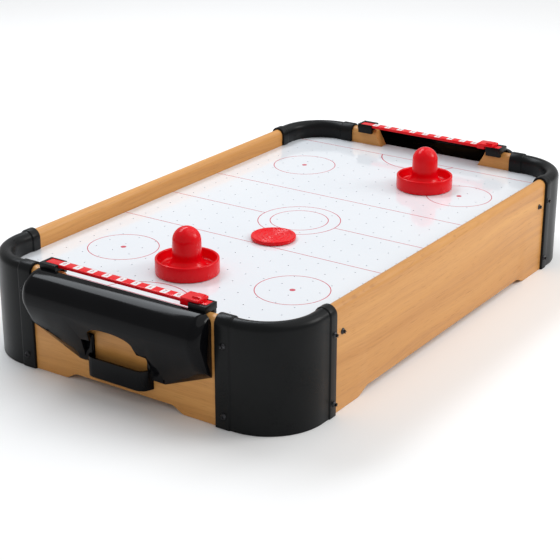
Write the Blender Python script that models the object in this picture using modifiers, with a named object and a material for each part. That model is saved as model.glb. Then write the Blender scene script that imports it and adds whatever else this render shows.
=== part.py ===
"""Tabletop air hockey table, modelled as an assembly of separate pieces.

Blender 4.5, metres, +Z up.  The long axis is X, the goals are at -X (front)
and +X (back), and the object stands on z = 0 with its centre over the origin.
"""
import math

import bmesh
import bpy
from mathutils import Matrix, Vector

MM = 0.001
GAP = 0.3                 # clearance kept between touching pieces, mm

# ---- driving dimensions, mm -------------------------------------------------
HALF_L = 251.5            # outer face of the end panels
HALF_W = 155.0            # outer face of the side panels
PANEL_T = 11.0            # thickness of the four wooden panels
WOOD_TOP = 89.5           # top of the panels above the floor
PLAY_Z = 73.5             # top of the playing surface above the floor
BOARD_T = 3.0             # playing surface board
SIDE_END = 193.5          # half length of a side panel
END_END = 103.5           # half length of an end panel
ARCH_Z = 5.5              # height of the long cut-outs under the panels
SIDE_ARCH = (134.0, 151.0)
END_ARCH = (47.5, 61.0)

CORNER_R = 48.5           # corner radius at the outer plane of the panels
CORNER_X = HALF_L - CORNER_R
CORNER_Y = HALF_W - CORNER_R
COVER_T = 2.0
COLLAR_PROUD = 2.3
TUBE_PROUD = 1.3
COLLAR_X = (186.0, 194.8)     # collar along the side panels
COLLAR_Y = (91.5, 104.6)      # collar along the end panels
ARC_STEPS = 8

MOUTH_HALF = 56.0         # goal mouth, half width at the playing surface
MOUTH_TOP = 63.5          # and at the top of the end panel

CHAMBER_TOP = PLAY_Z - BOARD_T - GAP
CHAMBER_FLOOR_Z = (47.0, 50.0)
FRAME_W = 12.0            # width of the chamber frame's bars

SCREW_SIDE_X = 189.5
SCREW_END_Y = 99.5
SCREW_Z = (11.0, 69.0)
PANEL_SCREW_X = 175.0
PANEL_SCREW_Z = 66.5
SHANK_R = 1.3
HOLE_R = 1.7

PUSHER_R = 26.8
PUSHER_KNOB_R = 12.0
PUSHER_TOP = 40.0
PUSHER_FRONT = (-158.0, 6.0)
PUSHER_BACK = (147.0, -47.0)
PUCK_R = 19.8
PUCK_POS = (-53.0, -8.0)

FAN_POS = (0.0, 0.0)
BATTERY_X = -115.0
SWITCH_X = -120.0
SWITCH_Z = 31.0
SWITCH_TILT = math.radians(9.0)

# ---- scene ------------------------------------------------------------------
for ob in list(bpy.data.objects):
    bpy.data.objects.remove(ob, do_unlink=True)

table = bpy.data.collections.new("air_hockey_table")
tools = bpy.data.collections.new("cutters")
bpy.context.scene.collection.children.link(table)
bpy.context.scene.collection.children.link(tools)


def make_material(name, rgb, rough, metal=0.0):
    m = bpy.data.materials.new(name)
    m.use_nodes = True
    b = m.node_tree.nodes["Principled BSDF"]
    b.inputs["Base Color"].default_value = (*rgb, 1.0)
    b.inputs["Roughness"].default_value = rough
    b.inputs["Metallic"].default_value = metal
    m.diffuse_color = (*rgb, 1.0)
    return m


M_WOOD = make_material("oak_foil_panel", (0.58, 0.33, 0.12), 0.45)
M_BOARD = make_material("white_gloss_board", (0.86, 0.89, 0.93), 0.15)
M_FIBRE = make_material("brown_fibreboard", (0.28, 0.17, 0.09), 0.8)
M_SATIN = make_material("black_satin_plastic", (0.018, 0.019, 0.020), 0.38)
M_GLOSS = make_material("black_gloss_plastic", (0.010, 0.010, 0.013), 0.10)
M_RED = make_material("red_gloss_plastic", (0.80, 0.010, 0.025), 0.22)
M_FELT = make_material("felt", (0.35, 0.02, 0.03), 0.95)
M_STEEL = make_material("black_zinc_steel", (0.08, 0.08, 0.085), 0.35, 1.0)
M_CAN = make_material("zinc_plated_steel", (0.55, 0.56, 0.58), 0.3, 1.0)
M_CELL = make_material("battery_jacket", (0.05, 0.06, 0.07), 0.35)
M_WIRE = make_material("black_wire", (0.02, 0.02, 0.02), 0.5)


# ---- helpers ----------------------------------------------------------------
def add_object(name, mesh, material, collection=table, smooth=None):
    ob = bpy.data.objects.new(name, mesh)
    collection.objects.link(ob)
    mesh.materials.clear()
    if material is not None:
        mesh.materials.append(material)
    if smooth is not None:
        mesh.shade_smooth()
        mesh.set_sharp_from_angle(angle=math.radians(smooth))
    if collection is tools:
        ob.hide_render = True
        ob.display_type = "WIRE"
    return ob


def place(ob, material, collection=table, smooth=None):
    """Moves a freshly made primitive into its collection."""
    for c in list(ob.users_collection):
        c.objects.unlink(ob)
    collection.objects.link(ob)
    ob.data.materials.clear()
    if material is not None:
        ob.data.materials.append(material)
    if smooth is not None:
        ob.data.shade_smooth()
        ob.data.set_sharp_from_angle(angle=math.radians(smooth))
    if collection is tools:
        ob.hide_render = True
        ob.display_type = "WIRE"
    return ob


def apply_transform(ob):
    ob.data.transform(ob.matrix_basis)
    ob.matrix_basis = Matrix.Identity(4)


def box(name, x, y, z, material=None, collection=table, bevel=0.0):
    """Box between (x0, x1), (y0, y1) and (z0, z1) in mm."""
    bpy.ops.mesh.primitive_cube_add(size=1.0)
    ob = bpy.context.object
    ob.name = name
    ob.data.name = name
    ob.scale = ((x[1] - x[0]) * MM, (y[1] - y[0]) * MM, (z[1] - z[0]) * MM)
    ob.location = ((x[0] + x[1]) / 2 * MM, (y[0] + y[1]) / 2 * MM, (z[0] + z[1]) / 2 * MM)
    apply_transform(ob)
    place(ob, material, collection)
    if bevel:
        b = ob.modifiers.new("edge", "BEVEL")
        b.width = bevel * MM
        b.segments = 1
        b.limit_method = "ANGLE"
    return ob


def cylinder(name, radius, length, centre, axis="Z", sides=10, material=None, collection=table):
    bpy.ops.mesh.primitive_cylinder_add(vertices=sides, radius=radius * MM, depth=length * MM)
    ob = bpy.context.object
    ob.name = name
    ob.data.name = name
    if axis == "X":
        ob.rotation_euler = (0.0, math.pi / 2, 0.0)
    elif axis == "Y":
        ob.rotation_euler = (math.pi / 2, 0.0, 0.0)
    ob.location = tuple(c * MM for c in centre)
    bpy.context.view_layer.update()
    ob.data.transform(ob.matrix_world)
    ob.matrix_basis = Matrix.Identity(4)
    return place(ob, material, collection, smooth=40 if collection is table else None)


def join_tools(name, parts):
    """Puts several cutters that don't touch into one cutter object."""
    bm = bmesh.new()
    for p in parts:
        bm.from_mesh(p.data)
        bpy.data.objects.remove(p, do_unlink=True)
    mesh = bpy.data.meshes.new(name)
    bm.to_mesh(mesh)
    bm.free()
    return add_object(name, mesh, None, tools)


def boolean(ob, other, operation):
    m = ob.modifiers.new(operation.lower(), "BOOLEAN")
    m.operation = operation
    m.object = other
    m.solver = "EXACT"
    return m


def plate(name, loops, thickness, material=None, collection=table, orient="XY", offset=0.0):
    """Flat outline (first loop outside, others holes), thickness and the
    middle plane's offset in mm.  orient says which plane the outline is in."""
    cu = bpy.data.curves.new(name, "CURVE")
    cu.dimensions = "2D"
    cu.fill_mode = "BOTH"
    cu.extrude = thickness * MM / 2
    for loop in loops:
        sp = cu.splines.new("POLY")
        sp.points.add(len(loop) - 1)
        for p, (a, b) in zip(sp.points, loop):
            p.co = (a * MM, b * MM, 0.0, 1.0)
        sp.use_cyclic_u = True
    src = bpy.data.objects.new(name + "_outline", cu)
    tools.objects.link(src)
    if orient == "XZ":      # outline x -> X, outline y -> Z, thickness along Y
        src.matrix_basis = Matrix.Translation((0, offset * MM, 0)) @ Matrix.Rotation(math.pi / 2, 4, "X")
    elif orient == "YZ":    # outline x -> Y, outline y -> Z, thickness along X
        src.matrix_basis = Matrix.Translation((offset * MM, 0, 0)) @ Matrix(
            ((0, 0, 1, 0), (1, 0, 0, 0), (0, 1, 0, 0), (0, 0, 0, 1)))
    else:
        src.matrix_basis = Matrix.Translation((0, 0, offset * MM))
    bpy.context.view_layer.update()
    dg = bpy.context.evaluated_depsgraph_get()
    mesh = bpy.data.meshes.new_from_object(src.evaluated_get(dg))
    mesh.name = name
    mesh.transform(src.matrix_world)
    bm = bmesh.new()
    bm.from_mesh(mesh)
    bmesh.ops.remove_doubles(bm, verts=bm.verts, dist=1e-6)
    if len(loops) == 1:
        bmesh.ops.dissolve_limit(bm, angle_limit=math.radians(0.5), verts=bm.verts,
                                 edges=bm.edges, delimit=set())
    bmesh.ops.recalc_face_normals(bm, faces=bm.faces)
    bm.to_mesh(mesh)
    bm.free()
    bpy.data.objects.remove(src, do_unlink=True)
    bpy.data.curves.remove(cu)
    return add_object(name, mesh, material, collection)


def round_edges(ob, pick, width, segments):
    bm = bmesh.new()
    bm.from_mesh(ob.data)
    edges = [e for e in bm.edges if pick(e.verts[0].co / MM, e.verts[1].co / MM)]
    bmesh.ops.bevel(bm, geom=edges, offset=width * MM, segments=segments, profile=0.5,
                    affect="EDGES", clamp_overlap=True)
    bm.to_mesh(ob.data)
    bm.free()


def turned(name, profile, centre, steps, material, collection=table, smooth=35):
    """Turns an (r, z) profile, listed from top to bottom, about a vertical axis."""
    mesh = bpy.data.meshes.new(name)
    verts = [(r * MM, 0.0, z * MM) for r, z in profile]
    closed = profile[0][0] > 1e-6
    edges = [(i, i + 1) for i in range(len(verts) - 1)]
    if closed:
        edges.append((len(verts) - 1, 0))
    mesh.from_pydata(verts, edges, [])
    ob = add_object(name, mesh, material, collection)
    ob.location = tuple(c * MM for c in centre)
    s = ob.modifiers.new("turn", "SCREW")
    s.axis = "Z"
    s.angle = 2 * math.pi
    s.steps = steps
    s.render_steps = steps
    s.use_merge_vertices = True
    s.merge_threshold = 0.00005
    s.use_smooth_shade = True
    return ob


def xr(sx, a, b):
    """Range along X between a and b, on the side sx."""
    return tuple(sorted((sx * a, sx * b)))


def smoothstep(t):
    return t * t * (3.0 - 2.0 * t)


def ease(a, b, n):
    """n+1 points of an S curve from a = (u, v) to b = (u, v), flat at both ends in v."""
    return [(a[0] + (b[0] - a[0]) * i / n, a[1] + (b[1] - a[1]) * smoothstep(i / n))
            for i in range(n + 1)]


# ---- wooden panels ----------------------------------------------------------
def side_panel(name, sign):
    a, b = SIDE_ARCH
    bottom = ([(-SIDE_END, 0.0)] + ease((-b, 0.0), (-a, ARCH_Z), 5)
              + ease((a, ARCH_Z), (b, 0.0), 5) + [(SIDE_END, 0.0)])
    outline = bottom + [(SIDE_END, WOOD_TOP), (-SIDE_END, WOOD_TOP)]
    ob = plate(name, [outline], PANEL_T, M_WOOD, orient="XZ", offset=sign * (HALF_W - PANEL_T / 2))
    round_edges(ob, lambda p, q: min(p.z, q.z) > WOOD_TOP - 0.1 and abs(p.x - q.x) > 5,
                PANEL_T / 2 - 0.1, 4)
    cuts = []
    for x in (-SCREW_SIDE_X, SCREW_SIDE_X):
        for z in SCREW_Z:
            cuts.append(cylinder("c", HOLE_R, 14.0, (x, sign * (HALF_W - 3.0), z), "Y", 8, None, tools))
    for x in (-PANEL_SCREW_X, PANEL_SCREW_X):
        cuts.append(cylinder("c", HOLE_R, 30.0, (x, sign * (HALF_W - 5.0), PANEL_SCREW_Z), "Y", 8, None, tools))
    boolean(ob, join_tools(name + "_holes", cuts), "DIFFERENCE")
    return ob


def mouth_side(n=5):
    """One side of the goal mouth, from above the panel down, as (half width, z)."""
    low = PLAY_Z - BOARD_T - GAP
    pts = [(MOUTH_TOP + 3.0, WOOD_TOP + 2.0), (MOUTH_TOP + 3.0, WOOD_TOP - 0.4)]
    for i in range(n + 1):
        t = i / n
        z = WOOD_TOP - 1.5 - (WOOD_TOP - 1.5 - low) * t
        w = MOUTH_TOP - (MOUTH_TOP - MOUTH_HALF) * smoothstep(t)
        pts.append((w, z))
    return pts


def end_panel(name, sign):
    a, b = END_ARCH
    bottom = ([(-END_END, 0.0)] + ease((-b, 0.0), (-a, ARCH_Z), 5)
              + ease((a, ARCH_Z), (b, 0.0), 5) + [(END_END, 0.0)])
    top = [(END_END, WOOD_TOP), (-END_END, WOOD_TOP)]
    ob = plate(name, [bottom + top], PANEL_T, M_WOOD, orient="YZ", offset=sign * (HALF_L - PANEL_T / 2))
    round_edges(ob, lambda p, q: min(p.z, q.z) > WOOD_TOP - 0.1 and abs(p.y - q.y) > 5,
                PANEL_T / 2 - 0.1, 4)
    side = mouth_side()
    boolean(ob, plate(name + "_mouth", [side + [(-w, z) for w, z in reversed(side)]], PANEL_T + 4.0,
                      None, tools, "YZ", sign * (HALF_L - PANEL_T / 2)), "DIFFERENCE")
    cuts = []
    for y in (-SCREW_END_Y, SCREW_END_Y):
        for z in SCREW_Z:
            cuts.append(cylinder("c", HOLE_R, 14.0, (sign * (HALF_L - 3.0), y, z), "X", 8, None, tools))
    boolean(ob, join_tools(name + "_holes", cuts), "DIFFERENCE")
    return ob


side_panel("side_panel_near", -1)
side_panel("side_panel_far", 1)
end_panel("end_panel_front", -1)
end_panel("end_panel_back", 1)


# ---- corner covers ----------------------------------------------------------
def cover_profile(half):
    """Section of a cover: (offset from the panel's middle plane, z), outside to inside."""
    zc = WOOD_TOP - PANEL_T / 2
    pts = [(half, 0.0), (half, zc)]
    n = 8
    for i in range(1, n):
        t = math.pi * i / n
        pts.append((half * math.cos(t), zc + half * math.sin(t)))
    pts += [(-half, zc), (-half, PLAY_Z + GAP)]
    return pts


def corner_cover(name, sx, sy):
    """Shell over one corner: collar, short straight, quarter turn, collar."""
    mid = CORNER_R - PANEL_T / 2
    collar = PANEL_T / 2 + COLLAR_PROUD
    tube = PANEL_T / 2 + TUBE_PROUD
    st = []                 # (x, y, nx, ny, half) in the +X +Y quadrant
    yc = HALF_W - PANEL_T / 2
    xc = HALF_L - PANEL_T / 2
    st.append((COLLAR_X[0], yc, 0.0, 1.0, collar))
    st.append((COLLAR_X[1], yc, 0.0, 1.0, collar))
    st.append((COLLAR_X[1] + 1.0, yc, 0.0, 1.0, tube))
    for i in range(ARC_STEPS + 1):
        t = math.pi / 2 * (1 - i / ARC_STEPS)
        nx, ny = math.cos(t), math.sin(t)
        st.append((CORNER_X + mid * nx, CORNER_Y + mid * ny, nx, ny, tube))
    st.append((xc, COLLAR_Y[1] + 1.0, 1.0, 0.0, tube))
    st.append((xc, COLLAR_Y[1], 1.0, 0.0, collar))
    st.append((xc, COLLAR_Y[0], 1.0, 0.0, collar))
    bm = bmesh.new()
    rows = []
    for x, y, nx, ny, half in st:
        rows.append([bm.verts.new((sx * (x + nx * o) * MM, sy * (y + ny * o) * MM, z * MM))
                     for o, z in cover_profile(half)])
    for r0, r1 in zip(rows, rows[1:]):
        for i in range(len(r0) - 1):
            f = (r0[i], r0[i + 1], r1[i + 1], r1[i])
            bm.faces.new(f if sx * sy < 0 else f[::-1])
    bmesh.ops.recalc_face_normals(bm, faces=bm.faces)
    # the outer wall must face away from the table's centre
    bm.faces.ensure_lookup_table()
    f0 = bm.faces[0]
    c = f0.calc_center_median()
    if f0.normal.dot(Vector((0.0, c.y, 0.0))) < 0:
        bmesh.ops.reverse_faces(bm, faces=bm.faces)
    mesh = bpy.data.meshes.new(name)
    bm.to_mesh(mesh)
    bm.free()
    ob = add_object(name, mesh, M_SATIN, smooth=35)
    s = ob.modifiers.new("wall", "SOLIDIFY")
    s.thickness = COVER_T * MM
    s.offset = -1.0
    s.use_even_offset = True
    cuts = []
    for z in SCREW_Z:
        cuts.append(cylinder("c", HOLE_R, 5.0, (sx * SCREW_SIDE_X, sy * (HALF_W + 1.3), z), "Y", 8, None, tools))
        cuts.append(cylinder("c", HOLE_R, 5.0, (sx * (HALF_L + 1.3), sy * SCREW_END_Y, z), "X", 8, None, tools))
    boolean(ob, join_tools(name + "_holes", cuts), "DIFFERENCE")
    return ob


for nm, sx, sy in (("corner_cover_front_near", -1, -1), ("corner_cover_front_far", -1, 1),
                   ("corner_cover_back_near", 1, -1), ("corner_cover_back_far", 1, 1)):
    corner_cover(nm, sx, sy)


# ---- screws -----------------------------------------------------------------
def screw(name, point, direction, shank):
    """Pan head screw whose head seats at point; direction points out of the wood."""
    prof = [(0.0, 1.7), (1.5, 1.5), (2.5, 0.7), (2.6, 0.0), (SHANK_R, 0.0), (SHANK_R, -shank),
            (0.0, -shank - 1.5)]
    ob = turned(name, prof, point, 8, M_STEEL)
    d = Vector(direction)
    ob.rotation_mode = "QUATERNION"
    ob.rotation_quaternion = Vector((0, 0, 1)).rotation_difference(d)
    return ob


face_y = HALF_W + COLLAR_PROUD + GAP
face_x = HALF_L + COLLAR_PROUD + GAP
for end, sx in (("front", -1), ("back", 1)):
    for side, sy in (("near", -1), ("far", 1)):
        for lvl, z in (("low", SCREW_Z[0]), ("high", SCREW_Z[1])):
            screw(f"cover_screw_{end}_{side}_side_{lvl}", (sx * SCREW_SIDE_X, sy * face_y, z), (0, sy, 0), 8.0)
            screw(f"cover_screw_{end}_{side}_end_{lvl}", (sx * face_x, sy * SCREW_END_Y, z), (sx, 0, 0), 8.0)
        screw(f"frame_screw_{end}_{side}", (sx * PANEL_SCREW_X, sy * (HALF_W + GAP), PANEL_SCREW_Z), (0, sy, 0), 17.0)


# ---- playing surface and the air chamber under it ---------------------------
def rounded_rect(hx, hy, r, n=5):
    pts = []
    for cx, cy, a0 in ((hx - r, hy - r, 0), (-hx + r, hy - r, 90), (-hx + r, -hy + r, 180), (hx - r, -hy + r, 270)):
        for i in range(n + 1):
            a = math.radians(a0 + 90 * i / n)
            pts.append((cx + r * math.cos(a), cy + r * math.sin(a)))
    return pts


def circle(cx, cy, r, n):
    return [(cx + r * math.cos(2 * math.pi * i / n), cy + r * math.sin(2 * math.pi * i / n)) for i in range(n)]


BX = HALF_L - PANEL_T - GAP
BY = HALF_W - PANEL_T - GAP


def board_outline():
    """Rounded board with a tongue at each end that fills the sill of the goal mouth."""
    t = MOUTH_HALF - 2 * GAP
    x = HALF_L - GAP
    pts = rounded_rect(BX, BY, 37.0)
    n = len(pts) // 2
    return pts[:n] + [(-BX, t), (-x, t), (-x, -t), (-BX, -t)] + pts[n:] + [(BX, -t), (x, -t), (x, t), (BX, t)]


plate("playing_surface", [board_outline()], BOARD_T, M_BOARD, offset=PLAY_Z - BOARD_T / 2)

frame_h = CHAMBER_TOP - (CHAMBER_FLOOR_Z[1] + GAP)
frame = plate("air_chamber_frame",
              [rounded_rect(BX, BY, 37.0), rounded_rect(BX - FRAME_W, BY - FRAME_W, 25.0)[::-1]],
              frame_h, M_FIBRE, offset=CHAMBER_FLOOR_Z[1] + GAP + frame_h / 2)
cuts = [cylinder("c", HOLE_R, 16.0, (x, y, PANEL_SCREW_Z), "Y", 8, None, tools)
        for x in (-PANEL_SCREW_X, PANEL_SCREW_X) for y in (-BY, BY)]
boolean(frame, join_tools("air_chamber_frame_holes", cuts), "DIFFERENCE")

plate("air_chamber_floor", [rounded_rect(BX, BY, 37.0), circle(FAN_POS[0], FAN_POS[1], 40.0, 24)[::-1]],
      CHAMBER_FLOOR_Z[1] - CHAMBER_FLOOR_Z[0], M_FIBRE, offset=sum(CHAMBER_FLOOR_Z) / 2)

# ---- fan unit ---------------------------------------------------------------
FAN_TOP = CHAMBER_FLOOR_Z[0] - GAP
turned("fan_housing",
       [(44.0, FAN_TOP), (58.0, FAN_TOP), (58.0, FAN_TOP - 3.0), (48.0, FAN_TOP - 3.0),
        (46.0, 14.0), (27.0, 14.0), (27.0, 16.2), (44.0, 16.2)],
       (*FAN_POS, 0.0), 24, M_SATIN)


def inlet_guard():
    loops = [circle(0, 0, 36.0, 24)]
    n = 6
    for k in range(n):
        a0 = 2 * math.pi * (k + 0.12) / n
        a1 = 2 * math.pi * (k + 0.88) / n
        for r0, r1 in ((13.0, 18.5), (20.5, 26.0)):
            m = 3
            arc = [(r1 * math.cos(a0 + (a1 - a0) * i / m), r1 * math.sin(a0 + (a1 - a0) * i / m)) for i in range(m + 1)]
            arc += [(r0 * math.cos(a1 + (a0 - a1) * i / m), r0 * math.sin(a1 + (a0 - a1) * i / m)) for i in range(m + 1)]
            loops.append(arc[::-1])
    return plate("inlet_guard", loops, 2.2, M_SATIN, offset=14.0 - GAP - 1.1)


inlet_guard()
guard_top = 14.0 - GAP
turned("fan_motor", [(0.0, 38.0), (1.0, 38.0), (1.0, 32.0), (3.2, 32.0), (3.2, 30.5), (10.0, 30.5),
                     (10.4, 29.5), (10.4, guard_top + GAP), (0.0, guard_top + GAP)],
       (*FAN_POS, 0.0), 12, M_CAN)


def impeller():
    hub = turned("impeller", [(0.0, 42.5), (3.0, 42.5), (4.0, 41.5), (38.0, 41.5), (38.0, 39.5), (4.0, 39.5),
                              (4.0, 33.0), (1.3, 33.0), (1.3, 38.6), (0.0, 38.6)],
                 (*FAN_POS, 0.0), 20, M_SATIN)
    blades = []
    for k in range(8):
        a = 2 * math.pi * k / 8
        b = box("b", (22.0, 37.0), (-0.7, 0.7), (20.0, 40.5), None, tools)
        b.data.transform(Matrix.Rotation(a, 4, "Z") @ Matrix.Translation((0.029, 0, 0))
                         @ Matrix.Rotation(math.radians(22), 4, "Z") @ Matrix.Translation((-0.029, 0, 0)))
        blades.append(b)
    boolean(hub, join_tools("impeller_blades", blades), "UNION")
    return hub


impeller()

# ---- battery box, cells, door -----------------------------------------------
BAT_TOP = CHAMBER_FLOOR_Z[0] - GAP
bat = box("battery_box", (BATTERY_X - 34.0, BATTERY_X + 34.0), (-31.0, 31.0), (27.0, BAT_TOP), M_SATIN, bevel=1.0)
boolean(bat, box("battery_box_inside", (BATTERY_X - 32.0, BATTERY_X + 32.0), (-29.0, 29.0), (20.0, BAT_TOP - 2.0),
                 None, tools), "DIFFERENCE")
for k in range(4):
    x = BATTERY_X + (k - 1.5) * 15.2
    flip = 1 if k % 2 == 0 else -1
    prof = [(0.0, 26.2), (2.7, 26.2), (2.7, 25.0), (6.6, 25.0), (7.2, 24.4), (7.2, -24.4), (6.6, -25.0), (0.0, -25.0)]
    cell = turned(f"battery_cell_{k + 1}", prof, (x, 0.0, 35.5), 12, M_CELL)
    cell.rotation_euler = (-flip * math.pi / 2, 0.0, 0.0)
door = box("battery_door", (BATTERY_X - 33.0, BATTERY_X + 33.0), (-30.0, 30.0), (24.9, 27.0 - GAP), M_SATIN, bevel=0.6)
ribs = [box("r", (BATTERY_X - 10.0, BATTERY_X + 10.0), (y - 0.8, y + 0.8), (24.2, 25.4), None, tools)
        for y in (18.0, 21.5, 25.0)]
boolean(door, join_tools("battery_door_ribs", ribs), "UNION")

# ---- on/off switch in the far side panel ------------------------------------
SW_FACE = HALF_W
boolean(bpy.data.objects["side_panel_far"],
        box("switch_hole", (SWITCH_X - 9.8, SWITCH_X + 9.8), (HALF_W - PANEL_T - 2.0, HALF_W + 2.0),
            (SWITCH_Z - 6.8, SWITCH_Z + 6.8), None, tools), "DIFFERENCE")
sw = box("switch_body", (SWITCH_X - 9.4, SWITCH_X + 9.4), (SW_FACE - 17.0, SW_FACE + 1.2),
         (SWITCH_Z - 6.4, SWITCH_Z + 6.4), M_SATIN)
boolean(sw, box("switch_bezel", (SWITCH_X - 11.5, SWITCH_X + 11.5), (SW_FACE + GAP, SW_FACE + 2.0),
                (SWITCH_Z - 8.4, SWITCH_Z + 8.4), None, tools), "UNION")
boolean(sw, box("switch_well", (SWITCH_X - 7.8, SWITCH_X + 7.8), (SW_FACE - 6.0, SW_FACE + 4.0),
                (SWITCH_Z - 4.8, SWITCH_Z + 4.8), None, tools), "DIFFERENCE")
# the rocker turns about an axis along Z in the middle of the well
SW_AXIS_Y = SW_FACE - 1.5
rock_pts = [(-7.0, 3.4), (0.0, 2.2), (7.0, 3.4), (7.0, 0.6), (3.0, -3.0), (-3.0, -3.0), (-7.0, 0.6)]
rocker = plate("switch_rocker", [rock_pts], 8.8, M_RED)
rocker.location = (SWITCH_X * MM, SW_AXIS_Y * MM, SWITCH_Z * MM)
rocker.rotation_euler = (0.0, 0.0, -SWITCH_TILT)


# ---- leads ------------------------------------------------------------------
def lead(name, pts, radius=0.9, n=14):
    """Round lead through the given points, read from a smooth curve."""
    def catmull(p0, p1, p2, p3, t):
        return tuple(0.5 * (2 * b + (c - a) * t + (2 * a - 5 * b + 4 * c - d) * t * t
                            + (3 * b - a - 3 * c + d) * t ** 3) for a, b, c, d in zip(p0, p1, p2, p3))
    ext = [tuple(2 * a - b for a, b in zip(pts[0], pts[1]))] + pts + [tuple(2 * a - b for a, b in zip(pts[-1], pts[-2]))]
    path = []
    segs = len(pts) - 1
    for i in range(n + 1):
        u = min(i / n * segs, segs - 1e-9)
        k = int(u)
        path.append(catmull(ext[k], ext[k + 1], ext[k + 2], ext[k + 3], u - k))
    cu = bpy.data.curves.new(name, "CURVE")
    cu.dimensions = "3D"
    cu.bevel_depth = radius * MM
    cu.bevel_resolution = 1
    cu.use_fill_caps = True
    sp = cu.splines.new("POLY")
    sp.points.add(len(path) - 1)
    for p, c in zip(sp.points, path):
        p.co = (c[0] * MM, c[1] * MM, c[2] * MM, 1.0)
    cu.materials.append(M_WIRE)
    ob = bpy.data.objects.new(name, cu)
    table.objects.link(ob)
    w = ob.modifiers.new("weld", "WELD")
    w.merge_threshold = 0.00001
    return ob


lead("lead_battery_to_switch", [(BATTERY_X + 6.0, 31.0 + GAP, 41.0), (BATTERY_X + 5.0, 55.0, 40.5),
                                (SWITCH_X + 2.0, 90.0, 41.5), (SWITCH_X - 3.0, 118.0, 36.0),
                                (SWITCH_X - 4.0, SW_FACE - 17.0 - GAP, SWITCH_Z)])
lead("lead_switch_to_motor", [(SWITCH_X + 4.0, SW_FACE - 17.2 - GAP, SWITCH_Z), (SWITCH_X + 6.0, 120.0, 35.0),
                              (SWITCH_X + 26.0, 92.0, 41.5), (-76.0, 60.0, 40.0), (-60.0, 34.0, 36.0),
                              (-48.6 * math.cos(0.5), 48.6 * math.sin(0.5), 32.5)])


# ---- goals ------------------------------------------------------------------
BOX_HALF = 88.0
BOX_WALL = 2.0
FILLET = 9.0              # rounding of the box's top and front into its two ends
NOSE = [(GAP, 91.3), (5.0, 90.6), (8.5, 89.5), (12.0, 87.6), (15.6, 84.8), (18.6, 81.0), (20.5, 75.8),
        (21.0, 70.5), (20.4, 66.0)]
FACE_D, FACE_Z, FACE_SLOPE = 9.5, 41.8, 0.47      # the sloping face under the nose
LOWER_FLAT = 43.0         # the lower edges rise outside this half width
FACE_LOW = (31.4, 0.461)
REAR_LOW = (21.5, 0.40)


def inset(pts, t):
    """Moves an open (depth, z) line, top to bottom, inwards by t with mitred corners."""
    out = []
    for i, p in enumerate(pts):
        dirs = []
        if i > 0:
            dirs.append(Vector((p[0] - pts[i - 1][0], p[1] - pts[i - 1][1])).normalized())
        if i < len(pts) - 1:
            dirs.append(Vector((pts[i + 1][0] - p[0], pts[i + 1][1] - p[1])).normalized())
        normals = [Vector((d.y, -d.x)) for d in dirs]
        m = sum(normals, Vector((0.0, 0.0)))
        m = m / m.length
        k = t / m.dot(normals[0])
        out.append((p[0] + m.x * k, p[1] + m.y * k))
    return out


def crossing(a, b, c, d):
    """Point where the lines a-b and c-d cross."""
    r = (b[0] - a[0], b[1] - a[1])
    q = (d[0] - c[0], d[1] - c[1])
    t = ((c[0] - a[0]) * q[1] - (c[1] - a[1]) * q[0]) / (r[0] * q[1] - r[1] * q[0])
    return (a[0] + r[0] * t, a[1] + r[1] * t)


def box_section(y, t):
    """Goal box section at y, t inside the skin: closed loop of (depth from the panel, z)."""
    w = max(abs(y), LOWER_FLAT) - LOWER_FLAT
    zf = FACE_LOW[0] + FACE_LOW[1] * w
    zr = REAR_LOW[0] + REAR_LOW[1] * w
    low = (FACE_D + FACE_SLOPE * (zf - FACE_Z), zf)
    r = FILLET - t
    over = min(max(0.0, abs(y) - (BOX_HALF - FILLET)), r)
    delta = r - math.sqrt(r * r - over * over)
    line = inset(NOSE + [low], t + delta)
    edge = inset([low, (GAP, zr)], t)
    corner = crossing(line[-2], line[-1], edge[0], edge[1])
    back = -6.0 if t else GAP
    if corner[0] < 1.2:
        k = (1.2 - line[-2][0]) / (line[-1][0] - line[-2][0])
        corner = (1.2, line[-2][1] + (line[-1][1] - line[-2][1]) * k)
        zb = corner[1] - 0.6
    else:
        zb = crossing(edge[0], edge[1], (back, 0.0), (back, 1.0))[1]
    pts = line[:-1] + [corner]
    if t:
        return [(back, pts[0][1])] + pts + [(back, zb)]
    return [(back, pts[0][1])] + pts[1:] + [(back, zb)]


def loft(name, rows, material, collection, smooth=None):
    """Closed solid through a row of closed loops with the same number of points."""
    bm = bmesh.new()
    vs = [[bm.verts.new(tuple(c * MM for c in p)) for p in row] for row in rows]
    for r0, r1 in zip(vs, vs[1:]):
        for i in range(len(r0)):
            j = (i + 1) % len(r0)
            bm.faces.new((r0[i], r0[j], r1[j], r1[i]))
    bm.faces.new(vs[0])
    bm.faces.new(vs[-1])
    bmesh.ops.recalc_face_normals(bm, faces=bm.faces)
    mesh = bpy.data.meshes.new(name)
    bm.to_mesh(mesh)
    bm.free()
    return add_object(name, mesh, material, collection, smooth)


TRAY_PLAN = [(GAP, 31.5), (6.5, 29.0), (9.3, 26.0), (10.5, 22.0)]     # (depth, half width)
TRAY_Z = (14.5, 31.0, 45.6)       # underside, top of the walls, top of their roots at the panel
TRAY_WALL = 2.0


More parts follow.
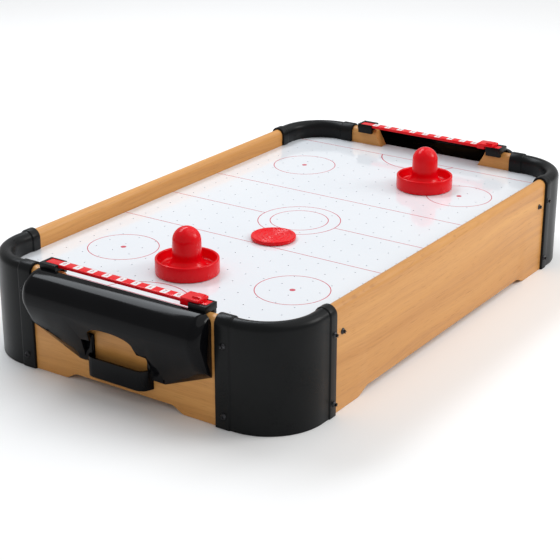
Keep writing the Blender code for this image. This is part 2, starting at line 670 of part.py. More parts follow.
def goal_box(name, sx):
    def rows(t):
        r = FILLET - t
        ys = [BOX_HALF - FILLET + r * math.sin(math.radians(a)) for a in (81, 62, 42, 22, 0)] + [LOWER_FLAT]
        ys = [-y for y in ys] + ys[::-1]
        return [[(sx * (HALF_L + d), y, z) for d, z in box_section(y, t)] for y in ys]

    def yz(tag, half_outline, d0, d1):
        loop = half_outline + [(-a, b) for a, b in reversed(half_outline) if a > 1e-6]
        return plate(name + tag, [loop], d1 - d0, None, tools, "YZ", sx * (HALF_L + (d0 + d1) / 2))

    def block(tag, d, y, z):
        return box(name + tag, xr(sx, HALF_L + d[0], HALF_L + d[1]), tuple(sorted(y)), z, None, tools)

    ob = loft(name, rows(0.0), M_GLOSS, table, 30)
    boolean(ob, loft(name + "_inside", rows(BOX_WALL), None, tools), "DIFFERENCE")
    # arched opening to lift the puck out, and the notch the tray hangs in
    n = 5
    arch = [(26.2, 33.0), (22.5, 52.0)] + [(22.5 * math.cos(math.pi / 2 * i / n), 52.0 + 9.0 * math.sin(math.pi / 2 * i / n))
                                         for i in range(1, n)] + [(0.0, 61.0)]
    notch = [(37.4, 12.0), (37.4, 22.0), (34.8, 31.0), (32.6, 45.0), (27.0, 45.4)]
    boolean(ob, yz("_window", arch, 2.5, 32.5), "DIFFERENCE")
    boolean(ob, yz("_notch", notch, -10.0, 30.0), "DIFFERENCE")
    # tray: a low cup, held by a flange against the panel on each side
    def outline(t):
        pts = [(TRAY_PLAN[0][0] if not t else -3.0, TRAY_PLAN[0][1] - t)] + [(a - 0.9 * t, b - 0.8 * t) for a, b in TRAY_PLAN[1:-1]]
        pts.append((TRAY_PLAN[-1][0] - t, TRAY_PLAN[-1][1]))
        loop = pts + [(a, -b) for a, b in reversed(pts)]
        return [(sx * (HALF_L + a), b) for a, b in loop]
    tray = plate(name + "_tray", [outline(0.0)], TRAY_Z[2] - TRAY_Z[0], None, tools, "XY", (TRAY_Z[2] + TRAY_Z[0]) / 2)
    boolean(tray, plate(name + "_tray_inside", [outline(TRAY_WALL)], 40.0, None, tools, "XY",
                        TRAY_Z[0] + TRAY_WALL + 20.0), "DIFFERENCE")
    boolean(tray, block("_tray_front", (3.1, 20.0), (-40.0, 40.0), (TRAY_Z[1], 60.0)), "DIFFERENCE")
    boolean(ob, tray, "UNION")
    for s_, tag in ((-1, "_n"), (1, "_f")):
        boolean(ob, block("_flange" + tag, (0.55, 2.4), (s_ * 27.0, s_ * 42.4), (23.0, 46.6)), "UNION")
    return ob


goal_box("goal_box_front", -1)
goal_box("goal_box_back", 1)

# ---- score rails ------------------------------------------------------------
RAIL_IN, RAIL_OUT = 236.7, 251.2
BLOCK_IN, BLOCK_OUT = 66.0, 82.5      # the two blocks that carry the score slat
SLAT = (237.9, 246.9)
SLAT_Z = (92.3, 95.0)
SLAT_HALF = 80.0
SLIDER_Y = (-74.5, -57.0)
SLIDER_LEG_Y = (-65.0, -57.1)


def score_block(name, sx, sy):
    def ys(a, b):
        return tuple(sorted((sy * a, sy * b)))

    ob = box(name, xr(sx, RAIL_IN, RAIL_OUT), ys(BLOCK_IN, BLOCK_OUT), (WOOD_TOP + GAP, 95.2), M_SATIN)
    boolean(ob, box(name + "_groove", xr(sx, SLAT[0] - GAP, SLAT[1] + GAP), ys(BLOCK_IN - 4.0, SLAT_HALF + GAP),
                    (91.85, 98.0), None, tools), "DIFFERENCE")
    boolean(ob, box(name + "_lip", xr(sx, RAIL_IN + 0.25, HALF_L - PANEL_T - GAP), ys(BLOCK_IN + 0.4, BLOCK_OUT - 0.4),
                    (86.0, 91.0), None, tools), "UNION")
    return ob


def score_slider(name, sx):
    ob = box(name, xr(sx, 235.6, 249.3), SLIDER_Y, (95.5, 97.4), M_RED)
    legs = [box("l", xr(sx, 247.3, 249.2), SLIDER_LEG_Y, (91.2, 96.0), None, tools),
            box("l", xr(sx, 235.7, 237.5), SLIDER_LEG_Y, (92.4, 96.0), None, tools)]
    boolean(ob, join_tools(name + "_legs", legs), "UNION")
    grip = box(name + "_grip", xr(sx, 237.6, 245.5), (SLIDER_Y[0] + 1.0, SLIDER_Y[0] + 9.0), (97.0, 98.8), None, tools)
    boolean(ob, grip, "UNION")
    return ob


for end, sx in (("front", -1), ("back", 1)):
    score_block(f"score_block_{end}_near", sx, -1)
    score_block(f"score_block_{end}_far", sx, 1)
    box(f"score_scale_{end}", xr(sx, *SLAT), (-SLAT_HALF, SLAT_HALF), SLAT_Z, M_RED)
    score_slider(f"score_slider_{end}", sx)


# ---- pushers and puck -------------------------------------------------------
def pusher(tag, pos):
    z0 = PLAY_Z
    k = PUSHER_KNOB_R
    zc = PUSHER_TOP - k
    dome = [(k * math.sin(math.radians(a)), zc + k * math.cos(math.radians(a))) for a in (0, 20, 40, 60, 80)]
    inner = [((k - 2.2) * math.sin(math.radians(a)), zc + (k - 2.2) * math.cos(math.radians(a))) for a in (80, 40, 0)]
    prof = dome + [(k, zc - 2.0), (k + 0.3, 11.5), (k + 6.4, 4.3), (PUSHER_R - 2.4, 4.2), (PUSHER_R - 2.2, 12.4),
                   (PUSHER_R - 1.1, 13.2), (PUSHER_R - 0.1, 12.4), (PUSHER_R, 3.0), (PUSHER_R - 0.3, GAP),
                   (PUSHER_R - 1.9, GAP), (PUSHER_R - 1.9, 2.1), (k - 1.0, 2.1)] + [(k - 1.6, 5.0)] + inner
    turned(f"pusher_{tag}", prof, (pos[0], pos[1], z0), 24, M_RED)
    turned(f"pusher_felt_{tag}", [(k + 0.5, 1.8), (PUSHER_R - 2.2, 1.8), (PUSHER_R - 2.2, GAP), (k + 0.5, GAP)],
           (pos[0], pos[1], z0), 20, M_FELT)


pusher("front", PUSHER_FRONT)
pusher("back", PUSHER_BACK)
turned("puck", [(0.0, 2.9), (3.0, 2.9), (3.6, 3.4), (4.6, 3.4), (5.2, 2.9), (9.0, 2.9), (9.6, 3.4), (10.6, 3.4),
                (11.2, 2.9), (PUCK_R - 3.4, 2.9), (PUCK_R - 2.8, 3.8), (PUCK_R - 0.6, 3.8), (PUCK_R, 3.2),
                (PUCK_R, 0.9), (PUCK_R - 0.6, GAP), (0.0, GAP)],
       (PUCK_POS[0], PUCK_POS[1], PLAY_Z), 24, M_RED)

bpy.context.view_layer.update()
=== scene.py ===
# The finished look of a tabletop air hockey table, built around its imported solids.
import bpy
import bmesh
import math
from mathutils import Vector, Matrix


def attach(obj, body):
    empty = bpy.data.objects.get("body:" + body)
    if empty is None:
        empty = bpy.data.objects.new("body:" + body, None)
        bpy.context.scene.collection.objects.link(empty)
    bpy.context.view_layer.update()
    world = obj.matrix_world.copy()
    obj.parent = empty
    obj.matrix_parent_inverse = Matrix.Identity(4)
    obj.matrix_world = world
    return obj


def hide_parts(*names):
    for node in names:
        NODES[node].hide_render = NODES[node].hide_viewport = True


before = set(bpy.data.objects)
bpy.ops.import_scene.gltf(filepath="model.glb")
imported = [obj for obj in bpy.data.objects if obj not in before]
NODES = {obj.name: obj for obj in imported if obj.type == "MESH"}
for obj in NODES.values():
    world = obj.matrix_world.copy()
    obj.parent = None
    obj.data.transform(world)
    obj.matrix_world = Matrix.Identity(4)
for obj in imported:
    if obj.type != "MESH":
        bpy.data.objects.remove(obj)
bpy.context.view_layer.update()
MM = 0.001

# main sizes, mm
HALF_L, HALF_W, PANEL_T, WOOD_TOP, PLAY_Z = 251.5, 155.0, 11.0, 89.5, 73.5
CORNER_R = 48.5
SIDES = (("near", -1), ("far", 1))
ENDS = (("front", -1), ("back", 1))


# ---------------------------------------------------------------------------
# node helpers
# ---------------------------------------------------------------------------
class Shade:
    """Small wrapper that wires a node material."""

    def __init__(self, name, **sockets):
        self.mat = bpy.data.materials.new(name)
        self.mat.use_nodes = True
        self.nt = self.mat.node_tree
        self.nt.nodes.clear()
        self.out = self.nt.nodes.new("ShaderNodeOutputMaterial")
        self.bsdf = self.nt.nodes.new("ShaderNodeBsdfPrincipled")
        self.nt.links.new(self.bsdf.outputs[0], self.out.inputs["Surface"])
        for k, v in sockets.items():
            self.bsdf.inputs[k.replace("_", " ")].default_value = v

    def node(self, kind, **props):
        n = self.nt.nodes.new(kind)
        for k, v in props.items():
            setattr(n, k, v)
        return n

    def link(self, a, b):
        self.nt.links.new(a, b)
        return self

    def set(self, inp, v):
        if hasattr(v, "links") or isinstance(v, bpy.types.NodeSocket):
            self.nt.links.new(v, inp)
        else:
            inp.default_value = v

    def pos(self, scale=(1, 1, 1), loc=(0, 0, 0), rot=(0, 0, 0)):
        tc = self.node("ShaderNodeTexCoord")
        mp = self.node("ShaderNodeMapping")
        mp.inputs["Scale"].default_value = scale
        mp.inputs["Location"].default_value = loc
        mp.inputs["Rotation"].default_value = rot
        self.link(tc.outputs["Object"], mp.inputs["Vector"])
        return mp.outputs[0]

    def noise(self, vector, scale=1.0, detail=3.0, rough=0.5, distort=0.0):
        n = self.node("ShaderNodeTexNoise")
        n.inputs["Scale"].default_value = scale
        n.inputs["Detail"].default_value = detail
        n.inputs["Roughness"].default_value = rough
        n.inputs["Distortion"].default_value = distort
        self.link(vector, n.inputs["Vector"])
        return n.outputs["Fac"]

    def ramp(self, fac, stops):
        r = self.node("ShaderNodeValToRGB")
        e = r.color_ramp.elements
        while len(e) < len(stops):
            e.new(0.5)
        for el, (p, c) in zip(e, stops):
            el.position = p
            el.color = c if len(c) == 4 else (*c, 1.0)
        self.link(fac, r.inputs[0])
        return r.outputs[0]

    def math(self, op, a, b=0.0, c=0.0, clamp=False):
        n = self.node("ShaderNodeMath", operation=op, use_clamp=clamp)
        for i, v in enumerate((a, b, c)):
            self.set(n.inputs[i], v)
        return n.outputs[0]

    def span(self, v, a, b, c, d):
        n = self.node("ShaderNodeMapRange")
        self.set(n.inputs["Value"], v)
        for k, x in zip(("From Min", "From Max", "To Min", "To Max"), (a, b, c, d)):
            n.inputs[k].default_value = x
        return n.outputs[0]

    def mix(self, fac, a, b, blend="MIX"):
        n = self.node("ShaderNodeMix", data_type="RGBA", blend_type=blend)
        self.set(n.inputs[0], fac)
        self.set(n.inputs[6], a)
        self.set(n.inputs[7], b)
        return n.outputs[2]

    def bump(self, height, strength=0.2, distance=0.0005, normal=None):
        n = self.node("ShaderNodeBump")
        n.inputs["Strength"].default_value = strength
        n.inputs["Distance"].default_value = distance
        self.link(height, n.inputs["Height"])
        if normal is not None:
            self.link(normal, n.inputs["Normal"])
        return n.outputs[0]

    def base(self, v):
        self.set(self.bsdf.inputs["Base Color"], v)
        return self

    def rough(self, v):
        self.set(self.bsdf.inputs["Roughness"], v)
        return self

    def normal(self, v):
        self.link(v, self.bsdf.inputs["Normal"])
        return self


def separate(s):
    tc = s.node("ShaderNodeTexCoord")
    sp = s.node("ShaderNodeSeparateXYZ")
    s.link(tc.outputs["Object"], sp.inputs[0])
    return sp.outputs


def combine(s, x, y, z):
    n = s.node("ShaderNodeCombineXYZ")
    for i, v in enumerate((x, y, z)):
        s.set(n.inputs[i], v)
    return n.outputs[0]


def oak_foil(name, along, seed):
    """Golden oak print: long soft streaks, cathedral bands and short dark pores."""
    s = Shade(name, Roughness=0.42, Specular_IOR_Level=0.42, Coat_Weight=0.10, Coat_Roughness=0.25)
    x, y, z = separate(s)
    u = x if along == "X" else y
    w = y if along == "X" else x
    across = s.math("ADD", z, s.math("MULTIPLY", s.math("ABSOLUTE", w), 1.0))
    uu = s.math("ADD", u, seed)
    # slow wander of the grain
    wander = s.noise(combine(s, s.math("MULTIPLY", uu, 5.0), s.math("MULTIPLY", across, 14.0), seed), 1.0, 2.0)
    bent = s.math("ADD", across, s.math("MULTIPLY", s.math("SUBTRACT", wander, 0.5), 0.020))
    broad = s.noise(combine(s, s.math("MULTIPLY", uu, 1.6), s.math("MULTIPLY", bent, 75.0), seed), 1.0, 3.0, 0.55)
    rings = s.noise(combine(s, s.math("MULTIPLY", uu, 4.0), s.math("MULTIPLY", bent, 190.0), seed + 3.0), 1.0, 3.0, 0.6)
    fine = s.noise(combine(s, s.math("MULTIPLY", uu, 22.0), s.math("MULTIPLY", bent, 950.0), seed + 7.0), 1.0, 3.0, 0.6)
    tone = s.math("ADD", s.math("MULTIPLY", broad, 0.50), s.math("MULTIPLY", rings, 0.33))
    tone = s.math("ADD", tone, s.math("MULTIPLY", fine, 0.17))
    col = s.ramp(tone, [(0.28, (0.46, 0.185, 0.040)), (0.42, (0.56, 0.250, 0.060)), (0.54, (0.645, 0.305, 0.080)),
                        (0.70, (0.72, 0.365, 0.108))])
    pores = s.noise(combine(s, s.math("MULTIPLY", uu, 70.0), s.math("MULTIPLY", bent, 1500.0), seed + 11.0), 1.0, 2.0, 0.5)
    pore = s.span(pores, 0.60, 0.72, 0.0, 1.0)
    col = s.mix(s.math("MULTIPLY", pore, 0.36), col, (0.30, 0.115, 0.030, 1.0))
    s.base(col)
    s.rough(s.math("ADD", s.span(rings, 0.3, 0.7, 0.36, 0.46), s.math("MULTIPLY", pore, 0.12)))
    h = s.math("SUBTRACT", s.math("MULTIPLY", fine, 0.4), pore)
    s.normal(s.bump(h, 0.10, 0.0002))
    return s.mat


def satin_black():
    s = Shade("black_satin_plastic", Specular_IOR_Level=0.13)
    v = s.pos()
    grain = s.noise(v, 1900.0, 3.0, 0.6)
    cloud = s.noise(v, 26.0, 4.0, 0.55)
    s.base(s.mix(s.span(cloud, 0.3, 0.7, 0.0, 1.0), (0.0050, 0.0056, 0.0060, 1.0), (0.0078, 0.0085, 0.0090, 1.0)))
    s.rough(s.math("ADD", s.span(cloud, 0.3, 0.7, 0.27, 0.35), s.span(grain, 0.3, 0.7, -0.03, 0.03)))
    s.normal(s.bump(grain, 0.06, 0.0001))
    return s.mat


def gloss_black():
    s = Shade("black_gloss_plastic", Specular_IOR_Level=0.10, Coat_Weight=0.03, Coat_Roughness=0.05)
    v = s.pos()
    cloud = s.noise(v, 18.0, 4.0, 0.55)
    flow = s.noise(v, 210.0, 2.0, 0.5)
    s.base(s.mix(s.span(cloud, 0.3, 0.7, 0.0, 1.0), (0.0022, 0.0023, 0.0029, 1.0), (0.0036, 0.0038, 0.0047, 1.0)))
    s.rough(s.span(cloud, 0.3, 0.7, 0.085, 0.14))
    s.normal(s.bump(flow, 0.02, 0.0001))
    return s.mat


def red_gloss(name, lo=(0.74, 0.0008, 0.0060), hi=(0.80, 0.0012, 0.0080)):
    s = Shade(name, Specular_IOR_Level=0.20, Coat_Weight=0.03, Coat_Roughness=0.08)
    s.bsdf.inputs["Subsurface Weight"].default_value = 0.03
    s.bsdf.inputs["Subsurface Radius"].default_value = (0.004, 0.0008, 0.0008)
    s.bsdf.inputs["Subsurface Scale"].default_value = 0.6
    v = s.pos()
    cloud = s.noise(v, 34.0, 4.0, 0.55)
    flow = s.noise(v, 420.0, 3.0, 0.5)
    s.base(s.mix(s.span(cloud, 0.3, 0.7, 0.0, 1.0), (*lo, 1.0), (*hi, 1.0)))
    s.rough(s.math("ADD", s.span(cloud, 0.3, 0.7, 0.18, 0.24), s.span(flow, 0.3, 0.7, -0.01, 0.01)))
    s.normal(s.bump(flow, 0.012, 0.0001))
    return s.mat


def gloss_board():
    s = Shade("white_gloss_board", Specular_IOR_Level=0.55, Coat_Weight=0.55, Coat_Roughness=0.03)
    v = s.pos()
    cloud = s.noise(v, 7.0, 4.0, 0.55)
    peel = s.noise(v, 120.0, 3.0, 0.5)
    speck = s.noise(v, 900.0, 2.0, 0.6)
    col = s.mix(s.span(cloud, 0.3, 0.7, 0.0, 1.0), (0.80, 0.835, 0.880, 1.0), (0.845, 0.870, 0.905, 1.0))
    s.base(s.mix(s.span(speck, 0.62, 0.75, 0.0, 0.10), col, (0.66, 0.69, 0.75, 1.0)))
    s.rough(s.span(cloud, 0.3, 0.7, 0.10, 0.16))
    s.normal(s.bump(peel, 0.03, 0.0002))
    return s.mat


def raw_board():
    s = Shade("brown_fibreboard", Roughness=0.8, Specular_IOR_Level=0.25)
    v = s.pos()
    fibre = s.noise(s.pos((1.0, 2.2, 1.0)), 620.0, 5.0, 0.7, 0.6)
    cloud = s.noise(v, 15.0, 4.0, 0.6)
    c = s.mix(s.span(fibre, 0.3, 0.7, 0.0, 1.0), (0.150, 0.078, 0.036, 1.0), (0.290, 0.168, 0.085, 1.0))
    s.base(s.mix(s.span(cloud, 0.3, 0.7, 0.0, 0.45), c, (0.225, 0.125, 0.060, 1.0)))
    s.rough(s.span(fibre, 0.3, 0.7, 0.70, 0.88))
    s.normal(s.bump(fibre, 0.35, 0.0003))
    return s.mat


def felt():
    s = Shade("red_felt", Roughness=0.95, Specular_IOR_Level=0.15, Sheen_Weight=0.4, Sheen_Roughness=0.5)
    v = s.pos()
    fibre = s.noise(v, 1500.0, 5.0, 0.75, 1.2)
    s.base(s.mix(s.span(fibre, 0.3, 0.7, 0.0, 1.0), (0.17, 0.012, 0.016, 1.0), (0.34, 0.030, 0.035, 1.0)))
    s.rough(s.span(fibre, 0.3, 0.7, 0.88, 0.98))
    s.normal(s.bump(fibre, 0.6, 0.0003))
    return s.mat


def metal(name, lo, hi, rough, scale=260.0):
    s = Shade(name, Metallic=1.0)
    v = s.pos()
    cloud = s.noise(v, scale, 4.0, 0.6)
    fine = s.noise(v, scale * 9.0, 2.0, 0.6)
    s.base(s.mix(s.span(cloud, 0.3, 0.7, 0.0, 1.0), (*lo, 1.0), (*hi, 1.0)))
    s.rough(s.math("ADD", s.span(cloud, 0.3, 0.7, rough - 0.05, rough + 0.06), s.span(fine, 0.3, 0.7, -0.03, 0.03)))
    s.normal(s.bump(fine, 0.05, 0.0001))
    return s.mat


def cell_jacket():
    """Printed film jacket: dark with a copper band at the plus end."""
    s = Shade("battery_jacket", Specular_IOR_Level=0.5, Coat_Weight=0.3, Coat_Roughness=0.1)
    x, y, z = separate(s)
    v = s.pos()
    grain = s.noise(v, 420.0, 3.0, 0.6)
    k = s.math("MULTIPLY", s.math("ADD", x, 0.115 + 1.5 * 0.0152), 1.0 / 0.0152)
    odd = s.math("MODULO", s.math("ROUND", k), 2.0)
    sign = s.span(odd, 0.0, 1.0, 1.0, -1.0)
    t = s.math("MULTIPLY", y, sign)
    band = s.math("GREATER_THAN", t, 0.012)
    c = s.mix(s.span(grain, 0.3, 0.7, 0.0, 1.0), (0.014, 0.016, 0.022, 1.0), (0.022, 0.025, 0.034, 1.0))
    c = s.mix(band, c, (0.62, 0.30, 0.10, 1.0))
    s.base(c)
    s.rough(s.span(grain, 0.3, 0.7, 0.24, 0.34))
    s.normal(s.bump(grain, 0.03, 0.0001))
    return s.mat


def wire_black():
    s = Shade("black_wire", Specular_IOR_Level=0.4)
    v = s.pos()
    g = s.noise(v, 900.0, 3.0, 0.6)
    s.base(s.mix(s.span(g, 0.3, 0.7, 0.0, 1.0), (0.010, 0.010, 0.011, 1.0), (0.022, 0.022, 0.024, 1.0)))
    s.rough(s.span(g, 0.3, 0.7, 0.42, 0.58))
    s.normal(s.bump(g, 0.1, 0.0001))
    return s.mat


def print_ink(name, colour, rough=0.2):
    """Ink laid on plastic or lacquer, a little uneven."""
    s = Shade(name, Specular_IOR_Level=0.5, Coat_Weight=0.3, Coat_Roughness=0.05)
    v = s.pos()
    g = s.noise(v, 1100.0, 3.0, 0.6)
    dark = tuple(c * 0.86 for c in colour)
    s.base(s.mix(s.span(g, 0.3, 0.7, 0.0, 1.0), (*dark, 1.0), (*colour, 1.0)))
    s.rough(s.span(g, 0.3, 0.7, rough - 0.04, rough + 0.05))
    return s.mat


OAK_SIDE = {"near": oak_foil("oak_foil_near", "X", 0.37), "far": oak_foil("oak_foil_far", "X", 1.91)}
OAK_END = {"front": oak_foil("oak_foil_front", "Y", 3.13), "back": oak_foil("oak_foil_back", "Y", 4.57)}
SATIN = satin_black()
GLOSS = gloss_black()
RED = red_gloss("red_gloss_plastic")
BOARD = gloss_board()
FIBRE = raw_board()
FELT = felt()
SCREW = metal("black_zinc_steel", (0.030, 0.030, 0.032), (0.075, 0.075, 0.080), 0.30, 700.0)
CAN = metal("zinc_plated_steel", (0.48, 0.49, 0.50), (0.62, 0.63, 0.65), 0.32)
CELL = cell_jacket()
WIRE = wire_black()
INK_RED = print_ink("rink_line_ink", (0.66, 0.070, 0.110), 0.14)
INK_WHITE = print_ink("score_mark_ink", (0.88, 0.88, 0.88), 0.25)


# ---------------------------------------------------------------------------
# mesh helpers, all sizes in mm in the row frame
# ---------------------------------------------------------------------------
def to_object(name, bm, mat, body, smooth=35.0, replaces=(), mats=None):
    me = bpy.data.meshes.new(name)
    bm.to_mesh(me)
    bm.free()
    ob = bpy.data.objects.new(name, me)
    bpy.context.scene.collection.objects.link(ob)
    for m in (mats or [mat]):
        me.materials.append(m)
    if smooth is not None:
        me.shade_smooth()
        me.set_sharp_from_angle(angle=math.radians(smooth))
    if body:
        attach(ob, body)
        if replaces:
            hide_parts(*replaces)
    return ob


def tool(name, bm):
    me = bpy.data.meshes.new(name)
    bm.to_mesh(me)
    bm.free()
    ob = bpy.data.objects.new(name, me)
    bpy.context.scene.collection.objects.link(ob)
    return ob


def loft_bm(rows, closed_path=False):
    """Closed loops joined in a row, capped at both ends."""
    bm = bmesh.new()
    vs = [[bm.verts.new(tuple(c * MM for c in p)) for p in row] for row in rows]
    pairs = list(zip(vs, vs[1:]))
    if closed_path:
        pairs.append((vs[-1], vs[0]))
    for r0, r1 in pairs:
        n = len(r0)
        for i in range(n):
            j = (i + 1) % n
            bm.faces.new((r0[i], r0[j], r1[j], r1[i]))
    if not closed_path:
        bm.faces.new(vs[0])
        bm.faces.new(vs[-1][::-1])
    bmesh.ops.recalc_face_normals(bm, faces=bm.faces)
    return bm


def box_bm(x, y, z):
    bm = bmesh.new()
    bmesh.ops.create_cube(bm, size=1.0)
    for v in bm.verts:
        v.co = Vector((((x[0] + x[1]) / 2 + v.co.x * (x[1] - x[0])) * MM,
                       ((y[0] + y[1]) / 2 + v.co.y * (y[1] - y[0])) * MM,
                       ((z[0] + z[1]) / 2 + v.co.z * (z[1] - z[0])) * MM))
    return bm


def prism_bm(loop, a, b, axis):
    """Outline (u, v) pushed from a to b along axis: X -> (y, z), Y -> (x, z), Z -> (x, y)."""
    def p(u, v, w):
        return {"X": (w, u, v), "Y": (u, w, v), "Z": (u, v, w)}[axis]
    return loft_bm([[p(u, v, a) for u, v in loop], [p(u, v, b) for u, v in loop]])


def revolve_bm(profile, centre, steps, z0=0.0):
    """Profile (r, z) top to bottom, turned about the vertical line through centre."""
    bm = bmesh.new()
    cols = []
    for k in range(steps):
        a = 2 * math.pi * k / steps
        cols.append([None if r < 1e-6 else bm.verts.new(((centre[0] + r * math.cos(a)) * MM,
                                                         (centre[1] + r * math.sin(a)) * MM, (z0 + z) * MM))
                     for r, z in profile])
    poles = {i: bm.verts.new((centre[0] * MM, centre[1] * MM, (z0 + z) * MM))
             for i, (r, z) in enumerate(profile) if r < 1e-6}
    n = len(profile)
    closed = not poles
    for k in range(steps):
        c0, c1 = cols[k], cols[(k + 1) % steps]
        for i in range(n if closed else n - 1):
            j = (i + 1) % n
            a0, a1 = c0[i] or poles.get(i), c1[i] or poles.get(i)
            b0, b1 = c0[j] or poles.get(j), c1[j] or poles.get(j)
            loop = [v for v in dict.fromkeys((a0, b0, b1, a1))]
            if len(loop) >= 3:
                bm.faces.new(loop)
    bmesh.ops.recalc_face_normals(bm, faces=bm.faces)
    return bm


def boolean(ob, bm, op="DIFFERENCE", solver="EXACT"):
    t = tool("cutter", bm)
    m = ob.modifiers.new("b", "BOOLEAN")
    m.operation = op
    m.object = t
    m.solver = solver
    apply_mods(ob)
    bpy.data.objects.remove(t, do_unlink=True)


def apply_mods(ob):
    bpy.context.view_layer.update()
    dg = bpy.context.evaluated_depsgraph_get()
    me = bpy.data.meshes.new_from_object(ob.evaluated_get(dg))
    old = ob.data
    ob.modifiers.clear()
    ob.data = me
    me.name = ob.name
    bpy.data.meshes.remove(old)


def bevel(ob, width, segments=3, angle=35.0, smooth=40.0, clamp=True):
    m = ob.modifiers.new("edge", "BEVEL")
    m.width = width * MM
    m.segments = segments
    m.limit_method = "ANGLE"
    m.angle_limit = math.radians(angle)
    m.use_clamp_overlap = clamp
    m.miter_outer = "MITER_ARC"
    apply_mods(ob)
    ob.data.shade_smooth()
    ob.data.set_sharp_from_angle(angle=math.radians(smooth))


def arc(cx, cy, r, a0, a1, n):
    return [(cx + r * math.cos(math.radians(a0 + (a1 - a0) * i / n)),
             cy + r * math.sin(math.radians(a0 + (a1 - a0) * i / n))) for i in range(n + 1)]


def rounded(pts, radii, n=5):
    """Polygon with each corner replaced by an arc of the given radius."""
    out = []
    m = len(pts)
    for i, p in enumerate(pts):
        r = radii[i] if isinstance(radii, (list, tuple)) else radii
        if r <= 0:
            out.append(p)
            continue
        a, b = Vector(pts[i - 1]) - Vector(p), Vector(pts[(i + 1) % m]) - Vector(p)
        la, lb = a.length, b.length
        a.normalize()
        b.normalize()
        ang = a.angle(b)
        t = min(r / math.tan(ang / 2), la * 0.49, lb * 0.49)
        p0, p1 = Vector(p) + a * t, Vector(p) + b * t
        for k in range(n + 1):
            u = k / n
            q = p0 * (1 - u) ** 2 + Vector(p) * 2 * u * (1 - u) + p1 * u ** 2
            out.append((q.x, q.y))
    return out


def xr(sx, a, b):
    return tuple(sorted((sx * a, sx * b)))


def smoothstep(t):
    return t * t * (3.0 - 2.0 * t)


def ease(a, b, n):
    return [(a[0] + (b[0] - a[0]) * i / n, a[1] + (b[1] - a[1]) * smoothstep(i / n)) for i in range(n + 1)]


# ---------------------------------------------------------------------------
# wooden panels: full bullnose on top, soft arrises elsewhere
# ---------------------------------------------------------------------------
def panel_rows(stations, sign, outer, along):
    """stations: (position along the panel, bottom z). The section is rounded on top."""
    mid = outer - PANEL_T / 2
    h = PANEL_T / 2
    rows = []
    for u, zb in stations:
        loop = [(-h + 0.4, zb), (h - 0.4, zb), (h - 0.1, zb + 0.1), (h, zb + 0.4)]
        r = h - 0.1
        zc = WOOD_TOP - r
        for i in range(0, 17):
            t = math.pi * i / 16
            loop.append((r * math.cos(t) + (0.1 if i == 0 else -0.1 if i == 16 else 0.0), zc + r * math.sin(t)))
        loop += [(-h, zb + 0.4), (-h + 0.1, zb + 0.1)]
        if along == "X":
            rows.append([(u, sign * (mid + o), z) for o, z in loop])
        else:
            rows.append([(sign * (mid + o), u, z) for o, z in loop])
    return rows


def stations(end, arch, n=14):
    a, b = arch
    pts = [(-end, 0.0)] + ease((-b, 0.0), (-a, 5.5), n) + [(0.0, 5.5)] + ease((a, 5.5), (b, 0.0), n) + [(end, 0.0)]
    return pts


def mouth_loop():
    low = PLAY_Z - 3.3
    side = [(66.5, WOOD_TOP + 3.0), (66.5, WOOD_TOP - 0.3)]
    n = 14
    for i in range(n + 1):
        t = i / n
        side.append((63.5 - 7.5 * smoothstep(t), WOOD_TOP - 1.2 - (WOOD_TOP - 1.2 - low) * t))
    return side + [(-w, z) for w, z in reversed(side)]


for side, sy in SIDES:
    bm = loft_bm(panel_rows(stations(193.5, (134.0, 151.0)), sy, HALF_W, "X"))
    ob = to_object(f"rail_{side}", bm, OAK_SIDE[side], "table", 35, (f"side_panel_{side}",))
    if side == "far":
        boolean(ob, box_bm((-129.8, -110.2), (142.0, 157.0), (24.2, 37.8)))
        ob.data.shade_smooth()
        ob.data.set_sharp_from_angle(angle=math.radians(35))
for end, sx in ENDS:
    bm = loft_bm(panel_rows(stations(103.5, (47.5, 61.0)), sx, HALF_L, "Y"))
    ob = to_object(f"rail_{end}", bm, OAK_END[end], "table", 35, (f"end_panel_{end}",))
    boolean(ob, prism_bm(mouth_loop(), sx * (HALF_L - 16.0), sx * (HALF_L + 5.0), "X"))
    ob.data.shade_smooth()
    ob.data.set_sharp_from_angle(angle=math.radians(35))


# ---------------------------------------------------------------------------
# corner covers
# ---------------------------------------------------------------------------
def cover_section(half, t=2.0):
    """Closed loop (offset, z): outer skin up and over, back down inside it."""
    zc = WOOD_TOP - PANEL_T / 2
    outer = [(half - 0.5, 0.0), (half - 0.12, 0.12), (half, 0.5), (half, zc - 6.0), (half, zc)]
    n = 18
    outer += [(half * math.cos(math.pi * i / n), zc + half * math.sin(math.pi * i / n)) for i in range(1, n)]
    outer += [(-half, zc), (-half, PLAY_Z + 0.8), (-half + 0.3, PLAY_Z + 0.4)]
    r = half - t
    inner = [(-r, PLAY_Z + 0.4), (-r, zc)]
    inner += [(-r * math.cos(math.pi * i / n), zc + r * math.sin(math.pi * i / n)) for i in range(1, n)]
    inner += [(r, zc), (r, zc - 6.0), (r, 0.0)]
    return outer + inner


